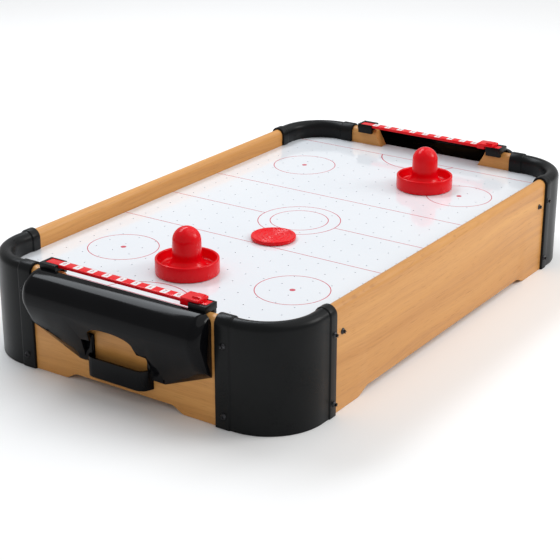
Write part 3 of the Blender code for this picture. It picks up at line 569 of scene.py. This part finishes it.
def corner_cover(name, sx, sy):
    mid = CORNER_R - PANEL_T / 2
    c, tb = PANEL_T / 2 + 2.3, PANEL_T / 2 + 1.3
    xc, yc = HALF_L - PANEL_T / 2, HALF_W - PANEL_T / 2
    cx, cy = HALF_L - CORNER_R, HALF_W - CORNER_R
    edge = [(0.0, -0.75), (0.12, -0.38), (0.4, -0.1), (0.85, 0.0)]
    step = [(-0.75, 0.0), (-0.35, -0.05), (-0.05, -0.22), (0.2, -0.55), (0.4, -0.8), (0.75, -0.97), (1.3, -1.0)]
    st = []
    for d, o in edge:
        st.append((186.0 + d, yc, 0.0, 1.0, c + o))
    for d, o in step:
        st.append((194.8 + d, yc, 0.0, 1.0, c + o))
    n = 30
    for i in range(n + 1):
        t = math.pi / 2 * (1 - i / n)
        st.append((cx + mid * math.cos(t), cy + mid * math.sin(t), math.cos(t), math.sin(t), tb))
    for d, o in step[::-1]:
        st.append((xc, 104.6 + d, 1.0, 0.0, c + o))
    for d, o in edge[::-1]:
        st.append((xc, 91.5 + d, 1.0, 0.0, c + o))
    rows = [[(sx * (x + nx * o), sy * (y + ny * o), z) for o, z in cover_section(h)] for x, y, nx, ny, h in st]
    bm = loft_bm(rows)
    return to_object(name.replace("corner_cover", "corner_guard"), bm, SATIN, "table", 50, (name,))


for end, sx in ENDS:
    for side, sy in SIDES:
        corner_cover(f"corner_cover_{end}_{side}", sx, sy)


# ---------------------------------------------------------------------------
# screws: domed head with a cross recess
# ---------------------------------------------------------------------------
def screw_template(r=2.6, h=1.7):
    prof = [(0.0, h)] + [(r * math.sin(t), -0.35 + (h + 0.35) * math.cos(t)) for t in
                         [math.pi / 2 * i / 10 * 0.90 for i in range(1, 11)]]
    prof += [(r, 0.1), (r - 0.05, 0.0), (1.3, 0.0), (1.3, -6.0), (0.0, -7.4)]
    bm = revolve_bm(prof, (0, 0), 32)
    me = bpy.data.meshes.new("screw_t")
    bm.to_mesh(me)
    bm.free()
    ob = bpy.data.objects.new("screw_t", me)
    bpy.context.scene.collection.objects.link(ob)
    cross = rounded([(-1.45, -0.24), (-0.24, -0.24), (-0.24, -1.45), (0.24, -1.45), (0.24, -0.24), (1.45, -0.24),
                     (1.45, 0.24), (0.24, 0.24), (0.24, 1.45), (-0.24, 1.45), (-0.24, 0.24), (-1.45, 0.24)], 0.08, 2)
    boolean(ob, prism_bm(cross, h - 0.95, h + 1.0, "Z"))
    bpy.data.objects.remove(ob.copy(), do_unlink=True)
    me = ob.data.copy()
    bpy.data.objects.remove(ob, do_unlink=True)
    me.transform(Matrix.Identity(4))
    return me


SCREW_MESH = screw_template()
SPIN = 0


def screw(name, point, direction):
    global SPIN
    SPIN += 1
    d = Vector(direction)
    rot = Vector((0, 0, 1)).rotation_difference(d).to_matrix().to_4x4()
    m = Matrix.Translation(Vector(point) * MM) @ rot @ Matrix.Rotation(0.61 * SPIN, 4, "Z")
    me = SCREW_MESH.copy()
    me.transform(m)
    ob = bpy.data.objects.new(name.replace("_screw", "_bolt"), me)
    bpy.context.scene.collection.objects.link(ob)
    me.materials.clear()
    me.materials.append(SCREW)
    me.shade_smooth()
    me.set_sharp_from_angle(angle=math.radians(38))
    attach(ob, "table")
    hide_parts(name)


for end, sx in ENDS:
    for side, sy in SIDES:
        for lvl, z in (("low", 11.0), ("high", 69.0)):
            screw(f"cover_screw_{end}_{side}_side_{lvl}", (sx * 189.5, sy * (HALF_W + 2.32), z), (0, sy, 0))
            screw(f"cover_screw_{end}_{side}_end_{lvl}", (sx * (HALF_L + 2.32), sy * 99.5, z), (sx, 0, 0))
        screw(f"frame_screw_{end}_{side}", (sx * 175.0, sy * (HALF_W + 0.05), 66.5), (0, sy, 0))


# ---------------------------------------------------------------------------
# playing surface with its air holes, and the printed rink lines
# ---------------------------------------------------------------------------
BX, BY = HALF_L - PANEL_T - 0.3, HALF_W - PANEL_T - 0.3
HX = [9.0 + 18.0 * k for k in range(-12, 12)]
HY = [18.1 * k for k in range(-7, 8)]


def board():
    r_hole, sides = 0.72, 10
    z1, z0 = PLAY_Z, PLAY_Z - 3.0
    bm = bmesh.new()
    cache = {}

    def v(x, y, z):
        k = (round(x, 4), round(y, 4), round(z, 4))
        if k not in cache:
            cache[k] = bm.verts.new((x * MM, y * MM, z * MM))
        return cache[k]

    for hx in HX:
        for hy in HY:
            x0, x1, y0, y1 = hx - 9.0, hx + 9.0, hy - 9.05, hy + 9.05
            ring = [(hx + r_hole * math.cos(2 * math.pi * (i + 0.5) / sides - math.pi / 2),
                     hy + r_hole * math.sin(2 * math.pi * (i + 0.5) / sides - math.pi / 2)) for i in range(sides)]
            corners = [(x0, y0), (x1, y0), (x1, y1), (x0, y1)]
            for z, flip in ((z1, False), (z0, True)):
                c = [v(*p, z) for p in corners]
                q = [v(*p, z) for p in ring]
                # nearest ring vertex for each corner
                idx = [min(range(sides), key=lambda i: (ring[i][0] - p[0]) ** 2 + (ring[i][1] - p[1]) ** 2)
                       for p in corners]
                for k in range(4):
                    i0, i1 = idx[k], idx[(k + 1) % 4]
                    steps = (i1 - i0) % sides
                    chain = [q[(i0 + s) % sides] for s in range(steps + 1)]
                    f = [c[k], c[(k + 1) % 4]] + chain[::-1]
                    bm.faces.new(f[::-1] if flip else f)
            for i in range(sides):
                j = (i + 1) % sides
                bm.faces.new((v(*ring[i], z1), v(*ring[i], z0), v(*ring[j], z0), v(*ring[j], z1)))
    # border strip out to the rounded outline, filled as a flat ring
    gx, gy = 216.0, 18.1 * 7.5
    xs = [HX[0] - 9.0 + 18.0 * k for k in range(len(HX) + 1)]
    ys = [HY[0] - 9.05 + 18.1 * k for k in range(len(HY) + 1)]
    inner = ([(x, ys[0]) for x in xs[:-1]] + [(xs[-1], y) for y in ys[:-1]]
             + [(x, ys[-1]) for x in reversed(xs[1:])] + [(xs[0], y) for y in reversed(ys[1:])])
    r = 37.0
    outline = []
    for cx, cy, a0 in ((BX - r, -BY + r, 270), (BX - r, BY - r, 0), (-BX + r, BY - r, 90), (-BX + r, -BY + r, 180)):
        outline += arc(cx, cy, r, a0, a0 + 90, 16)
        if a0 in (270, 90):
            # tongue that fills the sill of the goal mouth
            e = 1 if a0 == 270 else -1
            outline += [(e * BX, -e * 55.4), (e * (HALF_L - 0.7), -e * 55.4), (e * (HALF_L - 0.3), -e * 55.0),
                        (e * (HALF_L - 0.3), e * 55.0), (e * (HALF_L - 0.7), e * 55.4), (e * BX, e * 55.4)]
    for z, flip in ((z1, False), (z0, True)):
        edges = []
        for loop in (inner, outline):
            vs = [v(*p, z) for p in loop]
            for a, b in zip(vs, vs[1:] + vs[:1]):
                e = bm.edges.get((a, b)) or bm.edges.new((a, b))
                edges.append(e)
        before = set(bm.faces)
        bmesh.ops.triangle_fill(bm, use_beauty=True, use_dissolve=False, edges=edges)
    for a, b in zip(outline, outline[1:] + outline[:1]):
        bm.faces.new((v(*a, z0), v(*b, z0), v(*b, z1), v(*a, z1)))
    bmesh.ops.recalc_face_normals(bm, faces=bm.faces)
    return bm


to_object("rink_board", board(), BOARD, "table", 30, ("playing_surface",))


def rink_lines():
    """Thin flat ink strips, 0.05 mm thick, sunk half way into the board."""
    z0, z1 = PLAY_Z - 0.05, PLAY_Z + 0.05
    bm = bmesh.new()

    def solid(outer, inner, closed):
        n = len(outer)
        vs = [[bm.verts.new((x * MM, y * MM, z * MM)) for (x, y), z in ((o, z1), (i, z1), (i, z0), (o, z0))]
              for o, i in zip(outer, inner)]
        rng = range(n if closed else n - 1)
        for k in rng:
            a, b = vs[k], vs[(k + 1) % n]
            for q in range(4):
                w = (q + 1) % 4
                bm.faces.new((a[q], a[w], b[w], b[q]))
        if not closed:
            bm.faces.new(vs[0])
            bm.faces.new(vs[-1][::-1])

    def ring(cx, cy, r, w, n=96, a0=0.0, a1=360.0):
        full = abs(a1 - a0) >= 360
        pts = arc(cx, cy, 1.0, a0, a1, n)
        if full:
            pts = pts[:-1]
        o = [(cx + (x - cx) * (r + w / 2), cy + (y - cy) * (r + w / 2)) for x, y in pts]
        i = [(cx + (x - cx) * (r - w / 2), cy + (y - cy) * (r - w / 2)) for x, y in pts]
        solid(o, i, full)

    def strip(x, y0, y1, w):
        n = 20
        ys = [y0 + (y1 - y0) * k / n for k in range(n + 1)]
        solid([(x + w / 2, y) for y in ys], [(x - w / 2, y) for y in ys], False)

    W = 0.75
    for x in (-70.9, 70.9):
        strip(x, -BY + 0.2, BY - 0.2, W)
    # the centre line stops at the outer centre circle
    strip(0.0, -BY + 0.2, -37.4, W)
    strip(0.0, 37.4, BY - 0.2, W)
    for x in (-217.8, 217.8):
        edge = BY - 37.0 + math.sqrt(37.0 ** 2 - (217.8 - (BX - 37.0)) ** 2) - 0.2
        strip(x, -edge, edge, W)
    ring(0, 0, 37.4, W)
    ring(0, 0, 26.3, W)
    for x in (-142.1, 142.1):
        for y in (-87.3, 87.3):
            ring(x, y, 30.7, W)
            ring(x, y, 1.25, 2.45, 24)
    for sx in (-1, 1):
        # crease: arc bulging towards the centre from the goal line
        R, hc = 43.3, 40.75
        d = math.sqrt(R * R - hc * hc)
        cx = sx * (217.8 + d)
        half = math.degrees(math.asin(hc / R))
        mid = 180.0 if sx > 0 else 0.0
        ring(cx, 0.0, R, W * 1.3, 48, mid - half, mid + half)
    bmesh.ops.recalc_face_normals(bm, faces=bm.faces)
    return bm


to_object("rink_lines", rink_lines(), INK_RED, "table", None, ())


# ---------------------------------------------------------------------------
# goal boxes
# ---------------------------------------------------------------------------
BOX_HALF, FILLET, GAP = 88.0, 9.0, 0.3
NOSE_PTS = [(GAP, 91.3), (5.0, 90.6), (8.5, 89.5), (12.0, 87.6), (15.6, 84.8), (18.6, 81.0), (20.5, 75.8), (21.0, 70.5),
            (20.4, 66.0)]


def catmull(pts, n):
    ext = [tuple(2 * a - b for a, b in zip(pts[0], pts[1]))] + pts + [tuple(2 * a - b for a, b in zip(pts[-1], pts[-2]))]
    out = []
    for k in range(len(pts) - 1):
        p0, p1, p2, p3 = ext[k:k + 4]
        for i in range(n):
            t = i / n
            out.append(tuple(0.5 * (2 * b + (c - a) * t + (2 * a - 5 * b + 4 * c - d) * t * t
                                    + (3 * b - a - 3 * c + d) * t ** 3) for a, b, c, d in zip(p0, p1, p2, p3)))
    return out + [pts[-1]]


NOSE = catmull(NOSE_PTS, 4)


def inset(pts, t):
    out = []
    for i, p in enumerate(pts):
        dirs = []
        if i > 0:
            dirs.append(Vector((p[0] - pts[i - 1][0], p[1] - pts[i - 1][1])).normalized())
        if i < len(pts) - 1:
            dirs.append(Vector((pts[i + 1][0] - p[0], pts[i + 1][1] - p[1])).normalized())
        normals = [Vector((d.y, -d.x)) for d in dirs]
        m = sum(normals, Vector((0.0, 0.0)))
        m = m / m.length
        k = t / m.dot(normals[0])
        out.append((p[0] + m.x * k, p[1] + m.y * k))
    return out


def crossing(a, b, c, d):
    r = (b[0] - a[0], b[1] - a[1])
    q = (d[0] - c[0], d[1] - c[1])
    t = ((c[0] - a[0]) * q[1] - (c[1] - a[1]) * q[0]) / (r[0] * q[1] - r[1] * q[0])
    return (a[0] + r[0] * t, a[1] + r[1] * t)


def box_section(y, t):
    """Section of the box at y, t inside its skin; the ends are rounded over with radius FILLET."""
    w = max(abs(y), 43.0) - 43.0
    zf, zr = 31.4 + 0.461 * w, 21.5 + 0.40 * w
    low = (9.5 + 0.47 * (zf - 41.8), zf)
    r = FILLET - t
    over = min(max(0.0, abs(y) - (BOX_HALF - FILLET)), r)
    delta = r - math.sqrt(r * r - over * over)
    line = inset(NOSE + [low], t + delta)
    edge = inset([low, (GAP, zr)], t)
    corner = crossing(line[-2], line[-1], edge[0], edge[1])
    back = -6.0 if t else GAP
    if corner[0] < 1.2:
        k = (1.2 - line[-2][0]) / (line[-1][0] - line[-2][0])
        corner = (1.2, line[-2][1] + (line[-1][1] - line[-2][1]) * k)
        zb = corner[1] - 0.6
    else:
        zb = crossing(edge[0], edge[1], (back, 0.0), (back, 1.0))[1]
    pts = line[:-1] + [corner]
    return [(back, pts[0][1])] + (pts if t else pts[1:]) + [(back, zb)]


def goal_box(end, sx):
    def rows(t):
        r = FILLET - t
        angles = [84 - 8.4 * i for i in range(11)] if not t else (81, 62, 42, 22, 0)
        ys = [BOX_HALF - FILLET + r * math.sin(math.radians(a)) for a in angles] + [61.0, 43.0]
        ys = [-y for y in ys] + ys[::-1]
        return [[(sx * (HALF_L + d), y, z) for d, z in box_section(y, t)] for y in ys]

    def yz(half, d0, d1):
        loop = half + [(-a, b) for a, b in reversed(half) if a > 1e-6]
        return prism_bm(loop, sx * (HALF_L + d0), sx * (HALF_L + d1), "X")

    def block(d, y, z):
        return box_bm(xr(sx, HALF_L + d[0], HALF_L + d[1]), tuple(sorted(y)), z)

    ob = to_object(f"goal_shell_{end}", loft_bm(rows(0.0)), GLOSS, "table", 35, (f"goal_box_{end}",))
    boolean(ob, loft_bm(rows(2.0)))
    n = 16
    archp = [(26.2, 33.0), (22.5, 52.0)]
    archp += [(22.5 * math.cos(math.pi / 2 * i / n) ** 0.9, 52.0 + 9.0 * math.sin(math.pi / 2 * i / n) ** 0.9) for i in range(1, n)]
    archp += [(0.0, 61.0)]
    boolean(ob, yz(archp, 2.5, 32.5))
    boolean(ob, yz([(37.4, 12.0), (37.4, 22.0), (34.8, 31.0), (32.6, 45.0), (27.0, 45.4)], -10.0, 30.0))

    # tray: a low cup, held by a flange against the panel on each side
    def outline(t):
        plan = [(0.3, 31.5), (6.5, 29.0), (9.3, 26.0), (10.5, 22.0)]
        if t:
            plan = [(-3.0, 31.5 - t), (6.5 - 0.9 * t, 29.0 - 0.8 * t), (9.3 - 0.9 * t, 26.0 - 0.8 * t), (10.5 - t, 22.0)]
        half = catmull(plan, 4)
        return [(sx * (HALF_L + a), b) for a, b in half + [(a, -b) for a, b in reversed(half)]]

    tray = to_object("tray", prism_bm(outline(0.0), 14.5, 45.6, "Z"), GLOSS, None)
    boolean(tray, prism_bm(outline(2.0), 16.5, 60.0, "Z"))
    boolean(tray, block((3.1, 20.0), (-40.0, 40.0), (31.0, 60.0)))
    for s_ in (-1, 1):
        boolean(tray, block((0.55, 2.4), (s_ * 27.0, s_ * 42.4), (23.0, 46.6)), "UNION")
    m = ob.modifiers.new("b", "BOOLEAN")
    m.operation = "UNION"
    m.object = tray
    m.solver = "EXACT"
    apply_mods(ob)
    bpy.data.objects.remove(tray, do_unlink=True)
    bevel(ob, 0.45, 3, 38.0, 45.0)
    return ob


for end, sx in ENDS:
    goal_box(end, sx)


# ---------------------------------------------------------------------------
# score rails, scales, marks and sliders
# ---------------------------------------------------------------------------
RAIL_IN, RAIL_OUT, BLOCK_IN, BLOCK_OUT = 236.7, 251.2, 66.0, 82.5
SLAT, SLAT_Z, SLAT_HALF = (237.9, 246.9), (92.3, 95.0), 80.0


def score_block(end, sx, side, sy):
    def ys(a, b):
        return tuple(sorted((sy * a, sy * b)))

    ob = to_object(f"scorer_block_{end}_{side}", box_bm(xr(sx, RAIL_IN, RAIL_OUT), ys(BLOCK_IN, BLOCK_OUT), (WOOD_TOP + GAP, 95.2)),
                   SATIN, "table", 35, (f"score_block_{end}_{side}",))
    boolean(ob, box_bm(xr(sx, SLAT[0] - GAP, SLAT[1] + GAP), ys(BLOCK_IN - 4.0, SLAT_HALF + GAP), (91.85, 98.0)))
    boolean(ob, box_bm(xr(sx, RAIL_IN + 0.25, HALF_L - PANEL_T - GAP), ys(BLOCK_IN + 0.4, BLOCK_OUT - 0.4), (86.0, 91.0)), "UNION")
    bevel(ob, 0.4, 3, 40.0, 45.0)


def score_scale(end, sx):
    ob = to_object(f"scorer_scale_{end}", box_bm(xr(sx, *SLAT), (-SLAT_HALF, SLAT_HALF), SLAT_Z), RED, "table", 35,
                   (f"score_scale_{end}",))
    bevel(ob, 0.5, 3, 40.0, 45.0)


MARK_Y = [63.5, 49.3, 34.7, 19.8, 5.0, -9.4, -23.6, -37.6, -50.8, -64.6]


def score_marks(end, sx):
    """White labels on the slat with red numerals 0 to 9, read from outside the table's end."""
    zt = SLAT_Z[1]
    labels = bmesh.new()
    digits = bmesh.new()
    for k, y in enumerate(MARK_Y):
        plan = rounded([(sx * 242.4 - 3.7, y - 3.0), (sx * 242.4 + 3.7, y - 3.0), (sx * 242.4 + 3.7, y + 3.0),
                        (sx * 242.4 - 3.7, y + 3.0)], 1.0, 4)
        piece = prism_bm(plan, zt - 0.05, zt + 0.08, "Z")
        me = bpy.data.meshes.new("label")
        piece.to_mesh(me)
        piece.free()
        labels.from_mesh(me)
        bpy.data.meshes.remove(me)
        cu = bpy.data.curves.new("num", "FONT")
        cu.body = str(k)
        cu.size = 5.2 * MM
        cu.extrude = 0.04 * MM
        cu.resolution_u = 3
        cu.align_x = "CENTER"
        cu.align_y = "CENTER"
        ob = bpy.data.objects.new("num", cu)
        bpy.context.scene.collection.objects.link(ob)
        bpy.context.view_layer.update()
        me = bpy.data.meshes.new_from_object(ob.evaluated_get(bpy.context.evaluated_depsgraph_get()))
        me.transform(Matrix.Translation((sx * 242.4 * MM, y * MM, (zt + 0.10) * MM)) @ Matrix.Rotation(sx * math.pi / 2, 4, "Z"))
        digits.from_mesh(me)
        bpy.data.objects.remove(ob, do_unlink=True)
        bpy.data.curves.remove(cu)
        bpy.data.meshes.remove(me)
    to_object(f"scorer_marks_{end}", labels, INK_WHITE, "table", None, ())
    to_object(f"scorer_digits_{end}", digits, INK_RED, "table", None, ())


def score_slider(end, sx):
    y0, y1 = -74.5, -57.0
    plan = rounded([(sx * 235.6, y0), (sx * 249.3, y0), (sx * 249.3, y1), (sx * 235.6, y1)], 1.4, 5)
    ob = to_object(f"scorer_slider_{end}", prism_bm(plan, 95.5, 97.4, "Z"), RED, f"score_slider_{end}", 35,
                   (f"score_slider_{end}",))
    boolean(ob, box_bm(xr(sx, 247.3, 249.2), (-65.0, -57.1), (91.2, 96.0)), "UNION")
    boolean(ob, box_bm(xr(sx, 235.7, 237.5), (-65.0, -57.1), (92.4, 96.0)), "UNION")
    boolean(ob, prism_bm([(y0 + 1.0, 97.0), (y0 + 9.0, 97.0), (y0 + 8.2, 98.8), (y0 + 1.8, 98.8)],
                         sx * 237.6, sx * 245.5, "X"), "UNION")
    bevel(ob, 0.35, 3, 35.0, 45.0)


for end, sx in ENDS:
    for side, sy in SIDES:
        score_block(end, sx, side, sy)
    score_scale(end, sx)
    score_marks(end, sx)
    score_slider(end, sx)


# ---------------------------------------------------------------------------
# pushers and puck
# ---------------------------------------------------------------------------
def pusher(end, pos):
    R, k, top = 26.8, 12.0, 40.0
    zc = top - k
    dome = [(k * math.sin(math.radians(a)), zc + k * math.cos(math.radians(a))) for a in range(0, 91, 5)]
    stem = [(k + 0.08, zc - 3.0), (k + 0.2, 15.0), (k + 0.35, 12.6), (k + 0.8, 11.0), (k + 1.9, 9.0), (k + 4.6, 6.0), (k + 6.6, 4.6),
            (k + 7.8, 4.2)]
    rim = [(R - 4.4, 4.2), (R - 3.2, 4.5), (R - 2.6, 5.3), (R - 2.4, 6.4), (R - 2.2, 12.2), (R - 2.05, 12.75), (R - 1.6, 13.1),
           (R - 1.1, 13.2), (R - 0.6, 13.1), (R - 0.22, 12.75), (R - 0.08, 12.2), (R, 4.4), (R, 1.2), (R - 0.12, 0.7), (R - 0.5, 0.3),
           (R - 1.5, 0.3), (R - 1.85, 0.6), (R - 1.9, 2.1)]
    base = [(k - 0.6, 2.1), (k - 1.4, 3.0)]
    inner = [((k - 2.2) * math.sin(math.radians(a)), zc + (k - 2.2) * math.cos(math.radians(a))) for a in (88, 60, 30, 0)]
    bm = revolve_bm(dome + stem + rim + base + inner, pos, 112, PLAY_Z)
    to_object(f"striker_{end}", bm, RED, f"pusher_{end}", 50, (f"pusher_{end}",))
    fp = [(k + 0.9, 1.8), (R - 2.6, 1.8), (R - 2.25, 1.55), (R - 2.2, 0.8), (R - 2.5, 0.35), (k + 0.9, 0.3), (k + 0.5, 0.8), (k + 0.55, 1.5)]
    bm = revolve_bm(fp, pos, 72, PLAY_Z)
    to_object(f"striker_felt_{end}", bm, FELT, f"pusher_{end}", 50, (f"pusher_felt_{end}",))


pusher("front", (-158.0, 6.0))
pusher("back", (147.0, -47.0))


def puck():
    R = 19.8
    def ridge(r, h0=2.9, h1=3.3, w=0.9):
        return [(r - w, h0), (r - w * 0.6, h0 + (h1 - h0) * 0.5), (r - w * 0.3, h1 - 0.05), (r, h1), (r + w * 0.3, h1 - 0.05),
                (r + w * 0.6, h0 + (h1 - h0) * 0.5), (r + w, h0)]
    prof = [(0.0, 3.1), (1.6, 3.1), (2.1, 2.9)]
    for r in (5.0, 9.6):
        prof += ridge(r)
    prof += ridge(13.6, 2.9, 3.2, 0.7)
    prof += [(R - 4.2, 2.9), (R - 3.6, 3.1), (R - 3.0, 3.65), (R - 2.5, 3.8), (R - 0.9, 3.8), (R - 0.35, 3.65), (R - 0.05, 3.2),
             (R, 2.6), (R, 1.4), (R - 0.08, 0.85), (R - 0.5, 0.4), (R - 1.0, 0.3), (0.0, 0.3)]
    bm = revolve_bm(prof, (-53.0, -8.0), 112, PLAY_Z)
    to_object("puck_disc", bm, RED, "puck", 35, ("puck",))


puck()

# ---------------------------------------------------------------------------
# carried-over solids
# ---------------------------------------------------------------------------
KEEP = {
    "air_chamber_frame": (FIBRE, "brown_fibreboard"), "air_chamber_floor": (FIBRE, "brown_fibreboard"),
    "fan_housing": (SATIN, "black_satin_plastic"), "inlet_guard": (SATIN, "black_satin_plastic"),
    "impeller": (SATIN, "black_satin_plastic"), "fan_motor": (CAN, "zinc_plated_steel"),
    "battery_box": (SATIN, "black_satin_plastic"), "battery_door": (SATIN, "black_satin_plastic"),
    "switch_body": (SATIN, "black_satin_plastic"), "switch_rocker": (RED, "red_gloss_plastic"),
    "lead_battery_to_switch": (WIRE, "black_wire"), "lead_switch_to_motor": (WIRE, "black_wire"),
}
for k in range(1, 5):
    KEEP[f"battery_cell_{k}"] = (CELL, "battery_jacket")
for name, (mat, slot) in KEEP.items():
    ob = NODES[name]
    ob.data.materials.clear()
    ob.data.materials.append(mat)

# ---------------------------------------------------------------------------
# floor, light and camera
# ---------------------------------------------------------------------------
bm = bmesh.new()
bmesh.ops.create_grid(bm, x_segments=1, y_segments=1, size=6.0)
for v in bm.verts:
    v.co.z = -0.0002
floor_s = Shade("studio_floor", Roughness=0.6, Specular_IOR_Level=0.1)
fn = floor_s.noise(floor_s.pos(), 3.0, 2.0)
floor_s.base(floor_s.mix(fn, (0.93, 0.93, 0.93, 1.0), (0.95, 0.95, 0.95, 1.0)))
floor = to_object("studio_floor", bm, floor_s.mat, None, None)

world = bpy.data.worlds.new("studio")
bpy.context.scene.world = world
world.use_nodes = True
bg = world.node_tree.nodes["Background"]
bg.inputs[0].default_value = (1.0, 1.0, 1.0, 1.0)
bg.inputs[1].default_value = 0.48


def area(name, loc, target, size, power, color=(1, 1, 1)):
    li = bpy.data.lights.new(name, "AREA")
    li.shape = "RECTANGLE"
    li.size, li.size_y = size
    li.energy = power
    li.color = color
    ob = bpy.data.objects.new(name, li)
    bpy.context.scene.collection.objects.link(ob)
    ob.location = loc
    ob.rotation_mode = "QUATERNION"
    ob.rotation_quaternion = (Vector(loc) - Vector(target)).to_track_quat("Z", "Y")
    return ob


area("soft_top", (0.25, 0.80, 1.20), (0.0, 0.0, 0.08), (1.2, 0.36), 10.5, (0.90, 0.95, 1.0))
area("key_right", (0.85, -1.30, 0.95), (0.0, 0.0, 0.05), (0.7, 0.6), 9.0, (1.0, 0.985, 0.96))
sun = bpy.data.lights.new("soft_sun", "SUN")
sun.energy = 1.05
sun.angle = math.radians(70)
so = bpy.data.objects.new("soft_sun", sun)
bpy.context.scene.collection.objects.link(so)
so.rotation_mode = "QUATERNION"
so.rotation_quaternion = Vector((0.45, -0.45, 1.0)).to_track_quat("Z", "Y")

cam = bpy.data.cameras.new("camera")
cam.sensor_fit = "HORIZONTAL"
cam.sensor_width = 36.0
cam.lens = 1487.0 / 560.0 * 36.0
cam.shift_x = -0.002
cam.clip_start, cam.clip_end = 0.01, 50.0
cam.dof.use_dof = False
co = bpy.data.objects.new("camera", cam)
bpy.context.scene.collection.objects.link(co)
az, el, roll, D = math.radians(-55.984), math.radians(21.838), math.radians(0.099), 1.20801
target = Vector((-0.12948, -0.06779, 0.0735))
back = Vector((math.sin(az) * math.cos(el), -math.cos(az) * math.cos(el), math.sin(el)))
fwd = -back
right = fwd.cross(Vector((0, 0, 1))).normalized()
up = right.cross(fwd)
r2 = right * math.cos(roll) + up * math.sin(roll)
u2 = -right * math.sin(roll) + up * math.cos(roll)
M = Matrix((r2, u2, back)).transposed().to_4x4()
M.translation = target + back * D
co.matrix_world = M
bpy.context.scene.camera = co

bpy.context.scene.view_settings.view_transform = "Standard"
bpy.context.scene.view_settings.look = "None"
